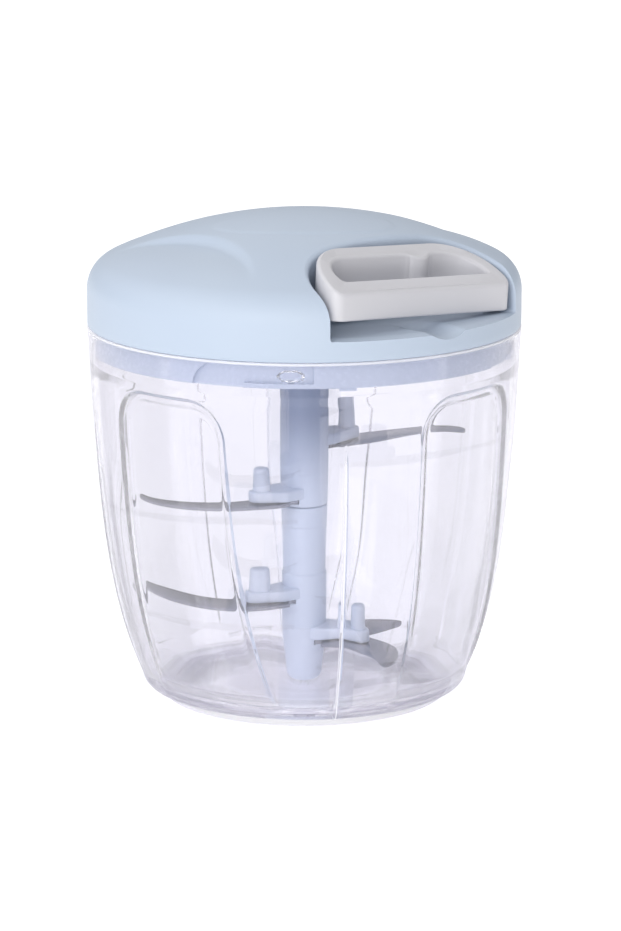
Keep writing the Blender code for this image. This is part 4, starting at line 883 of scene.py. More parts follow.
def make_handle(material):
    """D-shaped pull loop; a boss in its back wall holds the knotted end of the cord."""
    half_width = POCKET_HALF_WIDTH - HANDLE_PLAY
    corner = POCKET_CORNER - HANDLE_PLAY
    knot_x = HANDLE_BACK + KNOT_RADIUS + KNOT_COVER
    boss = KNOT_RADIUS + GAP + 0.0016
    reach = half_width - corner - 0.0002
    bends = (1.2, 1.05, 0.97, 0.9, 0.8, 0.65, 0.5, 0.3, 0.15)
    spine = list(np.linspace(reach, CORD_OFFSET + boss * 1.4, 2))
    spine += [CORD_OFFSET + boss * step for step in (*bends, 0.0, *[-step for step in reversed(bends)])]
    spine += list(np.linspace(CORD_OFFSET - boss * 1.4, -reach, 10))
    outer = d_outline(HANDLE_BACK, HANDLE_FRONT, half_width, corner, 0.0030, 28, spine)
    inner = d_outline(HANDLE_BACK + HANDLE_BACK_BAR, HANDLE_FRONT - HANDLE_FRONT_BAR,
                      half_width - HANDLE_SIDE_BAR, 0.0094, 0.0016, 28, spine)

    def with_boss(x, y):
        if x > HANDLE_FRONT - 0.0137:
            return x
        near = abs(y - CORD_OFFSET) / boss
        swell = knot_x + math.sqrt(max(0.0, boss ** 2 - (y - CORD_OFFSET) ** 2)) if near < 1.0 else x
        blend = 0.0006 * math.exp(-((near - 1.0) / 0.25) ** 2)
        return max(x, swell) + blend

    inner = [(with_boss(x, y), y) for x, y in inner]
    sections = [handle_section(a, b) for a, b in zip(outer, inner)]
    handle = loft("pull_handle_moulded", sections, material, joined=True)
    knot = Vector((knot_x, CORD_OFFSET, CORD_HEIGHT))
    bore = KNOT_RADIUS + GAP
    cut(handle, upright("knot_bore", knot, 0.9 * HANDLE_BOTTOM, CORD_HEIGHT + bore, bore))
    cord_start = Vector((0.9 * HANDLE_BACK, knot.y, knot.z))
    cut(handle, rod("cord_hole", cord_start, knot, CORD_RADIUS + CORD_HOLE_GAP))
    # as photographed, the handle lies a little rolled about the cord
    at_cord = Matrix.Translation((0.0, CORD_OFFSET, CORD_HEIGHT))
    roll = at_cord @ Matrix.Rotation(math.radians(HANDLE_ROLL), 4, "X") @ at_cord.inverted()
    return move(handle, PULL_FRAME @ roll)


# Blades and their hubs

def wing_outline():
    """Plan of a wing, from the hub out to its rounded tip."""
    half = 0.75 * UPPER_HUB_RADIUS
    return [(BLADE_TAB_START, -half), (0.0072, -0.0056), (0.0190, -0.0026), (0.0202, -0.0010),
            (0.0202, 0.0010), (0.0190, 0.0024), (0.0112, 0.0058), (BLADE_TAB_START, half)]


def radial_frame(azimuth):
    """Turns +X out along an azimuth."""
    return Matrix.Rotation(math.radians(azimuth - 90.0), 4, "Z")


def add_wings(hub, blades, hub_radius):
    """Adds the wings over a hub's blades and cuts the slots for their tabs."""
    wings, slots = [], []
    for azimuth, height, _, _, _ in blades:
        turn = radial_frame(azimuth)
        bottom = height + BLADE_SHEET / 2.0 + GAP
        wing = softened(prism("wing", wing_outline(), bottom, bottom + WING_THICKNESS), 0.0006)
        wings.append(move(wing, turn))
        half = BLADE_TAB_HALF_WIDTH + GAP
        outline = [(BLADE_TAB_START - GAP, -half), (1.3 * hub_radius, -half),
                   (1.3 * hub_radius, half), (BLADE_TAB_START - GAP, half)]
        slots.append(move(prism("slot", outline, height - BLADE_SHEET / 2.0 - GAP, bottom), turn))
    fuse(hub, *wings)
    cut(hub, gathered(slots))


def make_upper_hub(material):
    """Upper half of the shaft: spigot below, hexagon head above, and two wings."""
    bottom = HUB_JOINT + GAP
    foot = HUB_JOINT - SPIGOT_HEIGHT
    profile = [(0.0, foot), (SPIGOT_RADIUS, foot), (SPIGOT_RADIUS, bottom), (UPPER_HUB_RADIUS, bottom),
               (UPPER_HUB_RADIUS, UPPER_HUB_TOP), (0.0, UPPER_HUB_TOP)]
    hub = turned("upper_hub_moulded", rounded(profile, 0.0004, closed=False), material, 96)
    head_top = COVER_PLATE_BOTTOM + COVER_PLATE + 2.0 * GAP
    head = hexagon("head", HEX_ACROSS_FLATS, UPPER_HUB_TOP - 0.0024, head_top)
    fuse(hub, softened(head, 0.0003, 2))
    add_wings(hub, BLADES[:2], UPPER_HUB_RADIUS)
    return hub


def make_lower_hub(material):
    """Lower half of the shaft: it turns on the pin and takes the upper half's spigot."""
    bottom = BOSS_TOP + GAP
    bore = PIVOT_RADIUS + GAP
    socket = SPIGOT_RADIUS + GAP
    socket_floor = HUB_JOINT - SPIGOT_HEIGHT - GAP
    profile = [(0.0, PIVOT_TOP + GAP), (bore, PIVOT_TOP + GAP), (bore, bottom), (LOWER_HUB_RADIUS, bottom),
               (LOWER_HUB_RADIUS, HUB_STEP), (UPPER_HUB_RADIUS, HUB_STEP + 0.0004),
               (UPPER_HUB_RADIUS, HUB_JOINT), (socket, HUB_JOINT), (socket, socket_floor),
               (0.0, socket_floor)]
    hub = turned("lower_hub_moulded", rounded(profile, 0.0005, closed=False), material, 96)
    add_wings(hub, BLADES[2:], LOWER_HUB_RADIUS)
    return hub


def blade_section(sweep, half, bevel, low):
    """Section across a blade after it has swept through an angle, ground on its hollow side."""
    turn = math.radians(max(0.0, sweep))
    along = BLADE_CURVE_START + BLADE_CURVE_RADIUS * math.sin(turn)
    aside = -BLADE_CURVE_RADIUS * (1.0 - math.cos(turn))
    if sweep < 0.0:
        along = BLADE_CURVE_START + BLADE_CURVE_RADIUS * math.radians(sweep)
    across = Vector((math.sin(turn), math.cos(turn), 0.0))
    middle = Vector((along, aside, low))
    up = Vector((0.0, 0.0, BLADE_SHEET))
    burr = min(0.00012, half / 4.0)
    # the back of the blade is eased, and its cutting side is ground down over the bevel
    return [middle + across * reach + up * lift for reach, lift in (
        (half - burr, 0.0), (half, 0.15), (half, 0.85), (half - burr, 1.0),
        (bevel - half, 1.0), (-half, 0.2), (-half, 0.0))]


def make_blade(index, blade, material):
    """Sickle blade: a tab in the hub, then a leaf that sweeps round to its point."""
    azimuth, height, width, sweep, rise = blade
    low = -BLADE_SHEET / 2.0
    start = -math.degrees((BLADE_CURVE_START - BLADE_TAB_START) / BLADE_CURVE_RADIUS)
    neck = 0.2 * start
    sections = [blade_section(start + (neck - 3.0 - start) * share, BLADE_TAB_HALF_WIDTH, GAP, low)
                for share in (0.0, 0.33, 0.66, 1.0)]
    steps = 64
    for i in range(steps + 1):
        part = i / steps
        fullness = math.sqrt(max(0.0, 1.0 - part ** 1.9)) * (0.86 + 0.14 * math.cos(2.2 * part))
        half = 0.0003 + width / 2.0 * fullness
        lift = rise * float(smooth_step((part - 0.2) / 0.8))
        sections.append(blade_section(neck + (sweep - neck) * part, half, min(0.0024, half), low + lift))
    sheet = loft(f"blade_{index}_ground", sections, material, angle=25.0)
    peg_spot = Vector((PEG_DISTANCE, 0.0, 0.0))
    cut(sheet, upright("hole", peg_spot, -WING_THICKNESS, WING_THICKNESS, RIVET_RADIUS + GAP))
    return move(sheet, Matrix.Translation((0.0, 0.0, height)) @ radial_frame(azimuth))


# Node trees

def new_tree(kind, name, inputs, outputs):
    """An empty node tree with named inputs (name, kind, value) and outputs (name, kind)."""
    tree = bpy.data.node_groups.new(name, kind + "NodeTree")
    for label, socket_kind, value in inputs:
        socket = tree.interface.new_socket(name=label, in_out="INPUT", socket_type="NodeSocket" + socket_kind)
        if value is not None:
            socket.default_value = value
    for label, socket_kind in outputs:
        tree.interface.new_socket(name=label, in_out="OUTPUT", socket_type="NodeSocket" + socket_kind)
    return tree, tree.nodes.new("NodeGroupInput"), tree.nodes.new("NodeGroupOutput")


def node(tree, kind, fixed=(), **values):
    """A new node. A keyword names a setting, or an input with _ for spaces; fixed holds (input, value)."""
    made = tree.nodes.new(kind if kind.startswith("GeometryNode") else "ShaderNode" + kind)
    for key, value in values.items():
        if hasattr(made, key):
            setattr(made, key, value)
        else:
            made.inputs[key.replace("_", " ")].default_value = value
    for entry, value in fixed:
        made.inputs[entry].default_value = value
    return made


def maths(tree, operation, *fixed):
    """A Math node."""
    return node(tree, "Math", fixed, operation=operation)


def colour_mix(tree, *fixed):
    """Mixes two colours, at inputs 6 and 7, into output 2."""
    return node(tree, "Mix", fixed, data_type="RGBA")


def eased(tree, low=0.0, high=1.0, start=0.0, end=1.0):
    """Eases from the start value to the end value while the input goes from low to high."""
    return node(tree, "MapRange", interpolation_type="SMOOTHSTEP", From_Min=low, From_Max=high, To_Min=start,
                To_Max=end)


def wire(tree, *links):
    """Joins sockets, each link as (node, output, next node, input)."""
    for giver, output, taker, entry in links:
        tree.links.new(giver.outputs[output], taker.inputs[entry])


def swept_tree():
    """Sweeps a round or flat strip along an edge path."""
    tree, source, result = new_tree("Geometry", "swept_strip", (
        ("Geometry", "Geometry", None), ("Width", "Float", 0.001), ("Height", "Float", 0.001),
        ("Round", "Bool", True), ("Sides", "Int", 12), ("Finish", "Material", None)),
        (("Geometry", "Geometry"),))
    tree.is_modifier = True
    path = node(tree, "GeometryNodeMeshToCurve")
    circle = node(tree, "GeometryNodeCurvePrimitiveCircle", mode="RADIUS")
    flat = node(tree, "GeometryNodeCurvePrimitiveQuadrilateral", mode="RECTANGLE")
    half = maths(tree, "MULTIPLY", (1, 0.5))
    choice = node(tree, "GeometryNodeSwitch", input_type="GEOMETRY")
    upright_path = node(tree, "GeometryNodeSetCurveNormal", mode="Z_UP")
    sweep = node(tree, "GeometryNodeCurveToMesh", (("Fill Caps", True),))
    join = node(tree, "GeometryNodeRealizeInstances")
    coat = node(tree, "GeometryNodeSetMaterial")
    wire(tree, (source, "Geometry", path, "Mesh"), (path, "Curve", upright_path, "Curve"),
         (source, "Sides", circle, "Resolution"), (source, "Width", half, 0), (half, 0, circle, "Radius"),
         (source, "Width", flat, "Width"), (source, "Height", flat, "Height"),
         (source, "Round", choice, "Switch"), (flat, "Curve", choice, "False"),
         (circle, "Curve", choice, "True"),
         (upright_path, "Curve", sweep, "Curve"), (choice, "Output", sweep, "Profile Curve"),
         (sweep, "Mesh", join, "Geometry"), (join, "Geometry", coat, "Geometry"),
         (source, "Finish", coat, "Material"), (coat, "Geometry", result, "Geometry"))
    return tree


def repeated_tree():
    """Sets a copy of one fastener or peg on every point of a mesh."""
    tree, source, result = new_tree("Geometry", "repeated_on_points", (
        ("Geometry", "Geometry", None), ("Model", "Object", None), ("Turn", "Float", 0.0),
        ("Finish", "Material", None)), (("Geometry", "Geometry"),))
    tree.is_modifier = True
    model = node(tree, "GeometryNodeObjectInfo", transform_space="ORIGINAL")
    index = node(tree, "GeometryNodeInputIndex")
    turn = maths(tree, "MULTIPLY")
    angles = node(tree, "CombineXYZ")
    copies = node(tree, "GeometryNodeInstanceOnPoints")
    join = node(tree, "GeometryNodeRealizeInstances")
    coat = node(tree, "GeometryNodeSetMaterial")
    wire(tree, (source, "Geometry", copies, "Points"), (source, "Model", model, "Object"),
         (model, "Geometry", copies, "Instance"), (index, "Index", turn, 0), (source, "Turn", turn, 1),
         (turn, 0, angles, "Z"), (angles, "Vector", copies, "Rotation"),
         (copies, "Instances", join, "Geometry"), (join, "Geometry", coat, "Geometry"),
         (source, "Finish", coat, "Material"),
         (coat, "Geometry", result, "Geometry"))
    return tree


SWEPT = swept_tree()
REPEATED = repeated_tree()


# Screws set in their bosses, pegs on the wings, and what is wound or drawn

def grown(name, points, edges, tree, values, angle=40.0):
    """Runs a Geometry Nodes tree on points and edges, and keeps the result as a plain mesh."""
    mesh = bpy.data.meshes.new(name)
    mesh.from_pydata([tuple(point) for point in points], edges, [])
    obj = placed(name, mesh)
    modifier = obj.modifiers.new("grow", "NODES")
    modifier.node_group = tree
    for item in tree.interface.items_tree:
        if item.item_type == "SOCKET" and item.in_out == "INPUT" and item.name in values:
            modifier[item.identifier] = values[item.name]
    bake(obj, angle)
    return obj


def strip_along(name, path, width, height, is_round, sides, finish):
    """A round cord or a flat strip along a path."""
    edges = [(i, i + 1) for i in range(len(path) - 1)]
    values = {"Width": width, "Height": height, "Round": is_round, "Sides": sides, "Finish": finish}
    return grown(name, path, edges, SWEPT, values)


def make_recoil_spring(material):
    """Flat spiral spring between the lid's fixed post and the wall of the reel's cup."""
    strip = 0.0004
    inner = POST_RADIUS + GAP + strip
    outer = REEL_RADIUS - REEL_WALL - GAP - strip
    disc_top = DISC_BOTTOM + DISC_THICKNESS
    width = REEL_CEILING - disc_top - 0.0020
    height = disc_top + GAP + width / 2.0
    path = [around(inner + (outer - inner) * i / 360.0, 6.0 * i, height) for i in range(361)]
    return strip_along("recoil_spring_strip", path, strip, width, False, 4, material)


def make_cord_winding(material):
    """The cord wound on the drum, ending where the straight lead leaves it."""
    steps = CORD_TURNS * 48
    path = []
    for i in range(steps + 1):
        part = i / steps
        path.append(around(CORD_OFFSET, PULL_AZIMUTH + 90.0 + 360.0 * CORD_TURNS * part,
                           CORD_HEIGHT + CORD_PITCH * CORD_TURNS * part))
    return strip_along("cord_wound", path, 2.0 * CORD_RADIUS, 0.0, True, 14, material)


def make_cord_lead(material):
    """The straight run of cord from the reel to the knot in the handle."""
    end = HANDLE_BACK + KNOT_COVER - GAP
    path = [CORD_FRAME @ Vector((GAP + (end - GAP) * i / 40.0, 0.0, 0.0)) for i in range(41)]
    return strip_along("cord_drawn", path, 2.0 * CORD_RADIUS, 0.0, True, 20, material)


def make_cord_knot(material):
    """Overhand knot: a ball of cord with two crossing turns."""
    knot_x = HANDLE_BACK + KNOT_RADIUS + KNOT_COVER
    place = PULL_FRAME @ Matrix.Translation((knot_x, CORD_OFFSET, CORD_HEIGHT))
    path = []
    for i in range(145):
        t = 2.0 * math.pi * i / 144.0
        ring = (KNOT_RADIUS - 0.00078) * (0.72 + 0.28 * math.cos(3.0 * t))
        spot = (0.0009 * math.sin(3.0 * t), ring * math.cos(2.0 * t), ring * math.sin(2.0 * t))
        path.append(place @ Vector(spot))
    return strip_along("cord_knot_tied", path, 0.0014, 0.0, True, 12, material)


def make_cover_screws(material):
    """Four pan-head screws with crossed recesses, under the cover's plate."""
    head, radius = 0.0015, 0.0028
    profile = [(0.0, -head), (radius * 0.6, -head), (radius * 0.93, -head * 0.66), (radius, -head * 0.2),
               (radius, 0.0), (SCREW_RADIUS, 0.0), (SCREW_RADIUS, SCREW_LENGTH - SCREW_RADIUS),
               (0.0, SCREW_LENGTH)]
    model = turned("screw_model", rounded(profile, 0.0003, closed=False), None, 36)
    slot, depth = 0.00042, 0.0008
    recess = [prism("recess", [(-a, -b), (a, -b), (a, b), (-a, b)], -head - 0.001, -head + depth)
              for a, b in ((0.0016, slot), (slot, 0.0016))]
    cut(model, *recess)
    spots = [spot + Vector((0.0, 0.0, COVER_PLATE_BOTTOM - GAP)) for spot in screw_spots()]
    screws = grown("cover_screws", spots, [], REPEATED, {"Model": model, "Turn": 0.6, "Finish": material})
    discard(model)
    return screws


def make_pegs(name, blades, material):
    """The locating pegs on the wings, each with its rivet down through the blade."""
    low = -BLADE_SHEET - GAP - 0.0008
    top = WING_THICKNESS + PEG_HEIGHT
    seat = 0.0012
    profile = [(0.0, low), (0.0013, low), (RIVET_RADIUS, low + 0.0003), (RIVET_RADIUS, seat),
               (PEG_RADIUS, seat), (PEG_RADIUS, WING_THICKNESS + 0.0002), (PEG_RADIUS * 0.9, top - 0.0005),
               (PEG_RADIUS * 0.68, top), (0.0, top)]
    model = turned("peg_model", rounded(profile, 0.0004, closed=False), None, 40)
    spots = [around(PEG_DISTANCE, blade[0], blade[1] + BLADE_SHEET / 2.0 + GAP) for blade in blades]
    pegs = grown(name, spots, [], REPEATED, {"Model": model, "Turn": 0.0, "Finish": material})
    discard(model)
    return pegs


# Shader groups, shared by the finishes

def new_skin(name, *inputs):
    """A shader group that gives a colour, a roughness and a height."""
    outputs = (("Colour", "Color"), ("Roughness", "Float"), ("Height", "Float"))
    return new_tree("Shader", name, inputs, outputs)


def moulded_group():
    """Moulded plastic: a slow drift of tone, spark-eroded grain and painted shade that darkens the colour
    between two heights.
    """
    group, source, result = new_skin(
        "moulded_skin", ("Colour", "Color", (0.8, 0.8, 0.8, 1.0)), ("Shade", "Color", (0.7, 0.7, 0.7, 1.0)),
        ("Scale", "Float", 900.0), ("Roughness", "Float", 0.4), ("Variation", "Float", 0.06),
        ("Deep From", "Float", 1.0), ("Deep To", "Float", 2.0),
        ("Deep Colour", "Color", (0.5, 0.5, 0.5, 1.0)))
    place = node(group, "TexCoord")
    split = node(group, "SeparateXYZ")
    # painted shade: between two heights the colour darkens towards a set shade colour
    rise = eased(group)
    painted_shade = colour_mix(group)
    grain = node(group, "TexNoise", Detail=3.0)
    drift = node(group, "TexNoise", Scale=22.0, Detail=2.0)
    mix = colour_mix(group)
    ease = node(group, "MapRange", From_Min=0.35, From_Max=0.65)
    spread = maths(group, "MULTIPLY_ADD")
    wire(group, (place, "Object", grain, "Vector"), (place, "Object", drift, "Vector"),
         (source, "Scale", grain, "Scale"), (drift, "Fac", ease, "Value"), (ease, "Result", mix, "Factor"),
         (source, "Colour", mix, 6), (source, "Shade", mix, 7), (place, "Object", split, 0),
         (split, "Z", rise, "Value"), (source, "Deep From", rise, "From Min"),
         (source, "Deep To", rise, "From Max"), (rise, "Result", painted_shade, "Factor"), (mix, 2, painted_shade, 6),
         (source, "Deep Colour", painted_shade, 7),
         (grain, "Fac", spread, 0), (source, "Variation", spread, 1), (source, "Roughness", spread, 2),
         (painted_shade, 2, result, "Colour"), (spread, 0, result, "Roughness"), (grain, "Fac", result, "Height"))
    return group


def brushed_group():
    """Ground steel: fine grinding lines across the sheet, with a drift of tone."""
    group, source, result = new_skin(
        "ground_steel", ("Colour", "Color", (0.6, 0.6, 0.6, 1.0)), ("Shade", "Color", (0.5, 0.5, 0.5, 1.0)),
        ("Lines", "Float", 900.0), ("Roughness", "Float", 0.25), ("Variation", "Float", 0.15))
    place = node(group, "TexCoord")
    squeeze = node(group, "Mapping", Scale=(1.0, 0.06, 1.0))
    lines = node(group, "TexNoise", Detail=4.0)
    drift = node(group, "TexNoise", Scale=60.0, Detail=2.0)
    mix = colour_mix(group)
    spread = maths(group, "MULTIPLY_ADD")
    wire(group, (place, "Object", squeeze, "Vector"), (squeeze, "Vector", lines, "Vector"),
         (source, "Lines", lines, "Scale"), (place, "Object", drift, "Vector"), (drift, "Fac", mix, "Factor"),
         (source, "Colour", mix, 6), (source, "Shade", mix, 7), (lines, "Fac", spread, 0),
         (source, "Variation", spread, 1), (source, "Roughness", spread, 2), (mix, 2, result, "Colour"),
         (spread, 0, result, "Roughness"), (lines, "Fac", result, "Height"))
    return group


def braid_group():
    """Fine crossed lay of a braided cord, as a height, with painted shade in the low grooves of the lay."""
    group, source, result = new_skin(
        "braided_lay", ("Colour", "Color", (0.8, 0.8, 0.8, 1.0)), ("Shade", "Color", (0.6, 0.6, 0.6, 1.0)),
        ("Scale", "Float", 900.0), ("Roughness", "Float", 0.8))
    place = node(group, "TexCoord")
    most = maths(group, "MAXIMUM")
    mix = colour_mix(group)
    for entry, turn in enumerate((0.7, -0.7)):
        cross = node(group, "Mapping", Rotation=(turn, turn, turn))
        wave = node(group, "TexWave", Distortion=0.4, Detail=1.0)
        wire(group, (place, "Object", cross, "Vector"), (cross, "Vector", wave, "Vector"),
             (source, "Scale", wave, "Scale"), (wave, "Fac", most, entry))
    # painted shade: the low grooves of the lay take the darker shade colour
    wire(group, (most, 0, mix, "Factor"), (source, "Shade", mix, 6), (source, "Colour", mix, 7),
         (mix, 2, result, "Colour"), (source, "Roughness", result, "Roughness"), (most, 0, result, "Height"))
    return group


MOULDED = moulded_group()
BRUSHED = brushed_group()
BRAIDED = braid_group()


def finish(name, group, settings, bump=0.1, distance=0.00005, **shader_values):
    """A material with one of the shared skins and constants on the shader itself."""
    material = bpy.data.materials.new(name)
    material.use_nodes = True
    tree = material.node_tree
    shader = tree.nodes["Principled BSDF"]
    skin = node(tree, "Group", node_tree=group)
    for label, value in settings.items():
        skin.inputs[label].default_value = (*value, 1.0) if isinstance(value, tuple) else value
    relief = node(tree, "Bump", Strength=bump, Distance=distance)
    wire(tree, (skin, "Colour", shader, "Base Color"), (skin, "Roughness", shader, "Roughness"),
         (skin, "Height", relief, "Height"), (relief, "Normal", shader, "Normal"))
    for label, value in shader_values.items():
        shader.inputs[label.replace("_", " ")].default_value = value
    return material


lid_blue = finish("lid_satin_blue", MOULDED, {
    "Colour": (0.47, 0.545, 0.655), "Shade": (0.455, 0.53, 0.645), "Scale": 1500.0, "Roughness": 0.40,
    "Variation": 0.10}, bump=0.25, distance=0.00004)
cover_blue = finish("cover_milky_blue", MOULDED, {
    "Colour": (0.50, 0.56, 0.665), "Shade": (0.48, 0.54, 0.655), "Scale": 900.0, "Roughness": 0.24,
    "Variation": 0.06}, bump=0.05, distance=0.00002)
# The shaft's colour darkens towards its top: painted shade of the lid above it.
hub_blue = finish("shaft_blue", MOULDED, {
    "Colour": (0.60, 0.665, 0.775), "Shade": (0.58, 0.645, 0.765), "Deep From": 0.056, "Deep To": 0.089,
    "Deep Colour": (0.17, 0.22, 0.34), "Scale": 1100.0, "Roughness": 0.34,
    "Variation": 0.08}, bump=0.15)
handle_grey = finish("handle_warm_grey", MOULDED, {
    "Colour": (0.60, 0.595, 0.63), "Shade": (0.58, 0.575, 0.61), "Scale": 1200.0, "Roughness": 0.34,
    "Variation": 0.08}, bump=0.15)
reel_white = finish("reel_white", MOULDED, {
    "Colour": (0.80, 0.80, 0.78), "Shade": (0.78, 0.78, 0.76), "Roughness": 0.5})
ring_clear = finish("base_ring_translucent", MOULDED, {
    "Colour": (0.99, 0.985, 1.0), "Shade": (0.98, 0.975, 0.99), "Scale": 500.0, "Roughness": 0.38,
    "Variation": 0.10}, bump=0.2, Transmission_Weight=0.15, IOR=1.41)
seal_white = finish("seal_silicone", MOULDED, {
    "Colour": (0.85, 0.85, 0.86), "Shade": (0.82, 0.82, 0.84), "Roughness": 0.45}, Subsurface_Weight=0.2)
bowl_clear = finish("bowl_clear_lavender", MOULDED, {
    "Colour": (0.885, 0.88, 0.93), "Shade": (0.875, 0.87, 0.925), "Scale": 60.0, "Roughness": 0.0,
    "Variation": 0.02}, bump=0.03, distance=0.0001, Transmission_Weight=1.0, IOR=1.49)
steel = finish("turned_steel", BRUSHED, {
    "Colour": (0.60, 0.60, 0.61), "Shade": (0.52, 0.52, 0.54), "Roughness": 0.22, "Variation": 0.12},
    Metallic=1.0)
blade_steel = finish("blade_ground_steel", BRUSHED, {
    "Colour": (0.30, 0.30, 0.34), "Shade": (0.25, 0.25, 0.29), "Lines": 2200.0, "Roughness": 0.16,
    "Variation": 0.12}, bump=0.04, distance=0.00002, Metallic=1.0)
spring_steel = finish("spring_steel", BRUSHED, {
    "Colour": (0.36, 0.38, 0.43), "Shade": (0.30, 0.32, 0.38), "Roughness": 0.3}, Metallic=1.0)
# The cord's Shade is the painted shade in the grooves of its lay.
cord_white = finish("cord_braided", BRAIDED, {
    "Colour": (0.82, 0.82, 0.80), "Shade": (0.62, 0.62, 0.60), "Scale": 700.0, "Roughness": 0.8},
    bump=0.5, distance=0.0001)


def let_light_in(material, tint, plain, foot):
    """Clear plastic: light falls through it onto what lies inside, and part of the view goes straight on.

    plain is that part of the view at the wall, and foot is the part near the floor. Where the wall is seen
    at a slant it grows to slant_share, in a greyer tint.
    """
    slant_share = 0.5
    tree = material.node_tree
    shader = tree.nodes["Principled BSDF"]
    rays = node(tree, "LightPath")
    place = node(tree, "TexCoord")
    split = node(tree, "SeparateXYZ")
    lower = eased(tree, 0.006, 0.020, foot, plain)
    slant = node(tree, "LayerWeight", Blend=0.5)
    grazing = eased(tree, 0.35, 0.95)
    share = maths(tree, "MULTIPLY", (1, slant_share))
    film_tint = colour_mix(tree, (6, (*tint, 1.0)), (7, (0.86, 0.85, 0.91, 1.0)))
    either, most, seen = [maths(tree, "MAXIMUM") for _ in range(3)]
    film = node(tree, "BsdfTransparent")
    mix = node(tree, "MixShader")
    wire(tree, (place, "Object", split, 0), (split, "Z", lower, "Value"), (rays, "Is Shadow Ray", either, 0),
         (rays, "Is Diffuse Ray", either, 1), (either, 0, most, 0), (lower, "Result", most, 1),
         (slant, "Facing", grazing, "Value"), (grazing, "Result", share, 0),
         (grazing, "Result", film_tint, "Factor"), (film_tint, 2, film, "Color"), (most, 0, seen, 0),
         (share, 0, seen, 1), (seen, 0, mix, 0),
         (shader, "BSDF", mix, 1), (film, "BSDF", mix, 2),
         (mix, "Shader", tree.nodes["Material Output"], "Surface"))


def paint_edge_highlights(material):
    """Paints thin white lines on the bowl's creases and its rim: painted highlights where they catch the
    light.
    """
    tree = material.node_tree
    surface = tree.nodes["Material Output"].inputs["Surface"]
    before = surface.links[0].from_socket
    place = node(tree, "TexCoord")
    split = node(tree, "SeparateXYZ")
    front = maths(tree, "MULTIPLY", (1, -1.0))
    turn = maths(tree, "ARCTAN2")
    from_crease = maths(tree, "SUBTRACT", (1, math.radians(CREASE_AZIMUTH)))
    wrapped_turn = maths(tree, "WRAP", (1, math.radians(45.0)), (2, -math.radians(45.0)))
    aside = maths(tree, "ABSOLUTE")
    line = eased(tree, 0.0022, 0.0050, 0.65, 0.0)
    below = eased(tree, 0.0780, 0.0850, 1.0, 0.0)
    crease = maths(tree, "MULTIPLY")
    rim = eased(tree, BOWL_RIM_TOP - 0.0009, BOWL_RIM_TOP - 0.0004, 0.0, 0.6)
    most = maths(tree, "MAXIMUM")
    # painted highlight: a white diffuse shader along the creases and the rim
    white = node(tree, "BsdfDiffuse", Color=(0.92, 0.92, 0.96, 1.0))
    mix = node(tree, "MixShader")
    wire(tree, (place, "Object", split, 0), (split, "Y", front, 0), (split, "X", turn, 0),
         (front, 0, turn, 1), (turn, 0, from_crease, 0), (from_crease, 0, wrapped_turn, 0),
         (wrapped_turn, 0, aside, 0),
         (aside, 0, line, "Value"), (split, "Z", below, "Value"), (line, "Result", crease, 0),
         (below, "Result", crease, 1), (split, "Z", rim, "Value"), (crease, 0, most, 0),
         (rim, "Result", most, 1), (most, 0, mix, 0), (white, "BSDF", mix, 2))
    tree.links.new(before, mix.inputs[1])
    tree.links.new(mix.outputs["Shader"], surface)


let_light_in(bowl_clear, (0.97, 0.965, 0.985), 0.12, 0.50)
paint_edge_highlights(bowl_clear)
let_light_in(ring_clear, (0.99, 0.985, 1.0), 0.55, 0.55)


# The object

def fit(piece, body, slot, *nodes):
    """A finished piece rides on its body and stands for its CAD nodes; slot is not used."""
    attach(piece, body)
    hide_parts(*nodes)
    return piece


fit(make_bowl(bowl_clear), "bowl", "clear_bowl", "bowl")
fit(make_base_ring(ring_clear), "bowl", "silicone", "base_ring")
fit(make_pivot_pin(steel), "bowl", "steel", "pivot_pin")
fit(make_lid_shell(lid_blue), "lid", "lid_blue", "lid_shell")
fit(make_inner_cover(cover_blue), "lid", "cover_blue", "inner_cover")
fit(make_seal_ring(seal_white), "lid", "silicone", "seal_ring")
fit(make_cord_guide(steel), "lid", "steel", "cord_guide")
fit(make_cover_screws(steel), "lid", "steel", *[f"cover_screw_{i}" for i in range(1, 5)])
fit(make_reel(reel_white), "rotor", "reel_white", "cord_reel")
fit(make_drive_socket(hub_blue), "rotor", "hub_blue", "drive_socket")
fit(make_recoil_spring(spring_steel), "rotor", "spring_steel", "recoil_spring")
fit(make_cord_winding(cord_white), "rotor", "cord", "cord_winding")
fit(make_upper_hub(hub_blue), "rotor", "hub_blue", "upper_blade_hub")
fit(make_lower_hub(hub_blue), "rotor", "hub_blue", "lower_blade_hub")
for index, blade in enumerate(BLADES, 1):
    fit(make_blade(index, blade, blade_steel), "rotor", "blade_steel", f"blade_{index}")
for name, blades in (("upper_wing_pegs", BLADES[:2]), ("lower_wing_pegs", BLADES[2:])):
    pegs = make_pegs(name, blades, hub_blue)
    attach(pegs, "rotor")
fit(make_handle(handle_grey), "handle", "handle_grey", "pull_handle")
fit(make_cord_knot(cord_white), "handle", "cord", "cord_knot")
lead = make_cord_lead(cord_white)
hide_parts("cord_lead")
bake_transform(lead)

# Camera, at the photograph's angle
camera_data = bpy.data.cameras.new("camera")
camera_data.lens = 151.5
camera_data.sensor_width = 36.0
camera_data.shift_x = 0.00666
camera_data.clip_start = 0.01
camera_data.clip_end = 20.0
camera = placed("camera", camera_data)
camera.location = (0.0, -1.120, 0.321)
camera.rotation_euler = (math.radians(77.249), 0.0, 0.0)
bpy.context.scene.camera = camera

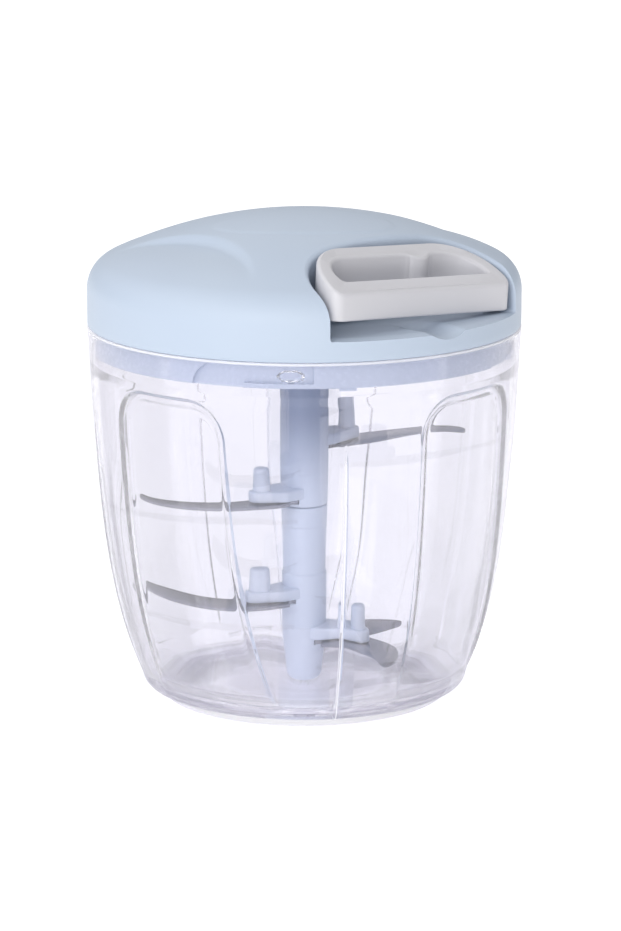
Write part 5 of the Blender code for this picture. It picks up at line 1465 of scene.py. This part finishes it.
# Floor, which gives off light so that it stays white and nearly free of shadow, as photographed
floor_mesh = bpy.data.meshes.new("floor")
floor_mesh.from_pydata([(-30, -30, 0), (30, -30, 0), (30, 30, 0), (-30, 30, 0)], [], [(0, 1, 2, 3)])
floor = placed("floor", floor_mesh)
floor_finish = bpy.data.materials.new("floor")
floor_finish.use_nodes = True
floor_shader = floor_finish.node_tree.nodes["Principled BSDF"]
for label, value in (("Base Color", (0.5, 0.5, 0.5, 1.0)), ("Emission Color", (1.0, 1.0, 1.0, 1.0)),
                     ("Emission Strength", 0.72), ("Roughness", 0.9), ("Specular IOR Level", 0.0)):
    floor_shader.inputs[label].default_value = value
floor_mesh.materials.append(floor_finish)

# Light: a studio that is brighter above and on the left, and three soft boxes
bpy.context.scene.view_settings.view_transform = "Standard"
bpy.context.scene.view_settings.look = "None"
world = bpy.data.worlds.new("studio")
bpy.context.scene.world = world
world.use_nodes = True
sky = world.node_tree
place = node(sky, "TexCoord")
split = node(sky, "SeparateXYZ")
height = eased(sky, 0.03, 0.40, 0.20, 0.95)
side = node(sky, "MapRange", From_Min=-0.1, From_Max=0.9, To_Min=1.0, To_Max=0.6)
both = maths(sky, "MULTIPLY")
background = sky.nodes["Background"]
background.inputs["Color"].default_value = (1.0, 1.0, 1.0, 1.0)
wire(sky, (place, "Generated", split, 0), (split, "Z", height, "Value"), (split, "X", side, "Value"),
     (height, "Result", both, 0), (side, "Result", both, 1), (both, 0, background, "Strength"))


def soft_light(name, place, size, power, target=(0.0, 0.0, 0.07)):
    """A soft box that faces the object."""
    data = bpy.data.lights.new(name, "AREA")
    data.shape = "RECTANGLE"
    data.size, data.size_y = size
    data.energy = power
    lamp = placed(name, data)
    lamp.location = place
    lamp.rotation_euler = (Vector(target) - Vector(place)).to_track_quat("-Z", "Y").to_euler()


soft_light("front_box", (-0.42, -1.20, 0.44), (1.3, 0.8), 8.0)
soft_light("left_box", (-0.7, -0.1, 0.45), (0.4, 0.7), 0.5)
soft_light("right_box", (0.7, 0.2, 0.45), (0.4, 0.7), 0.2)
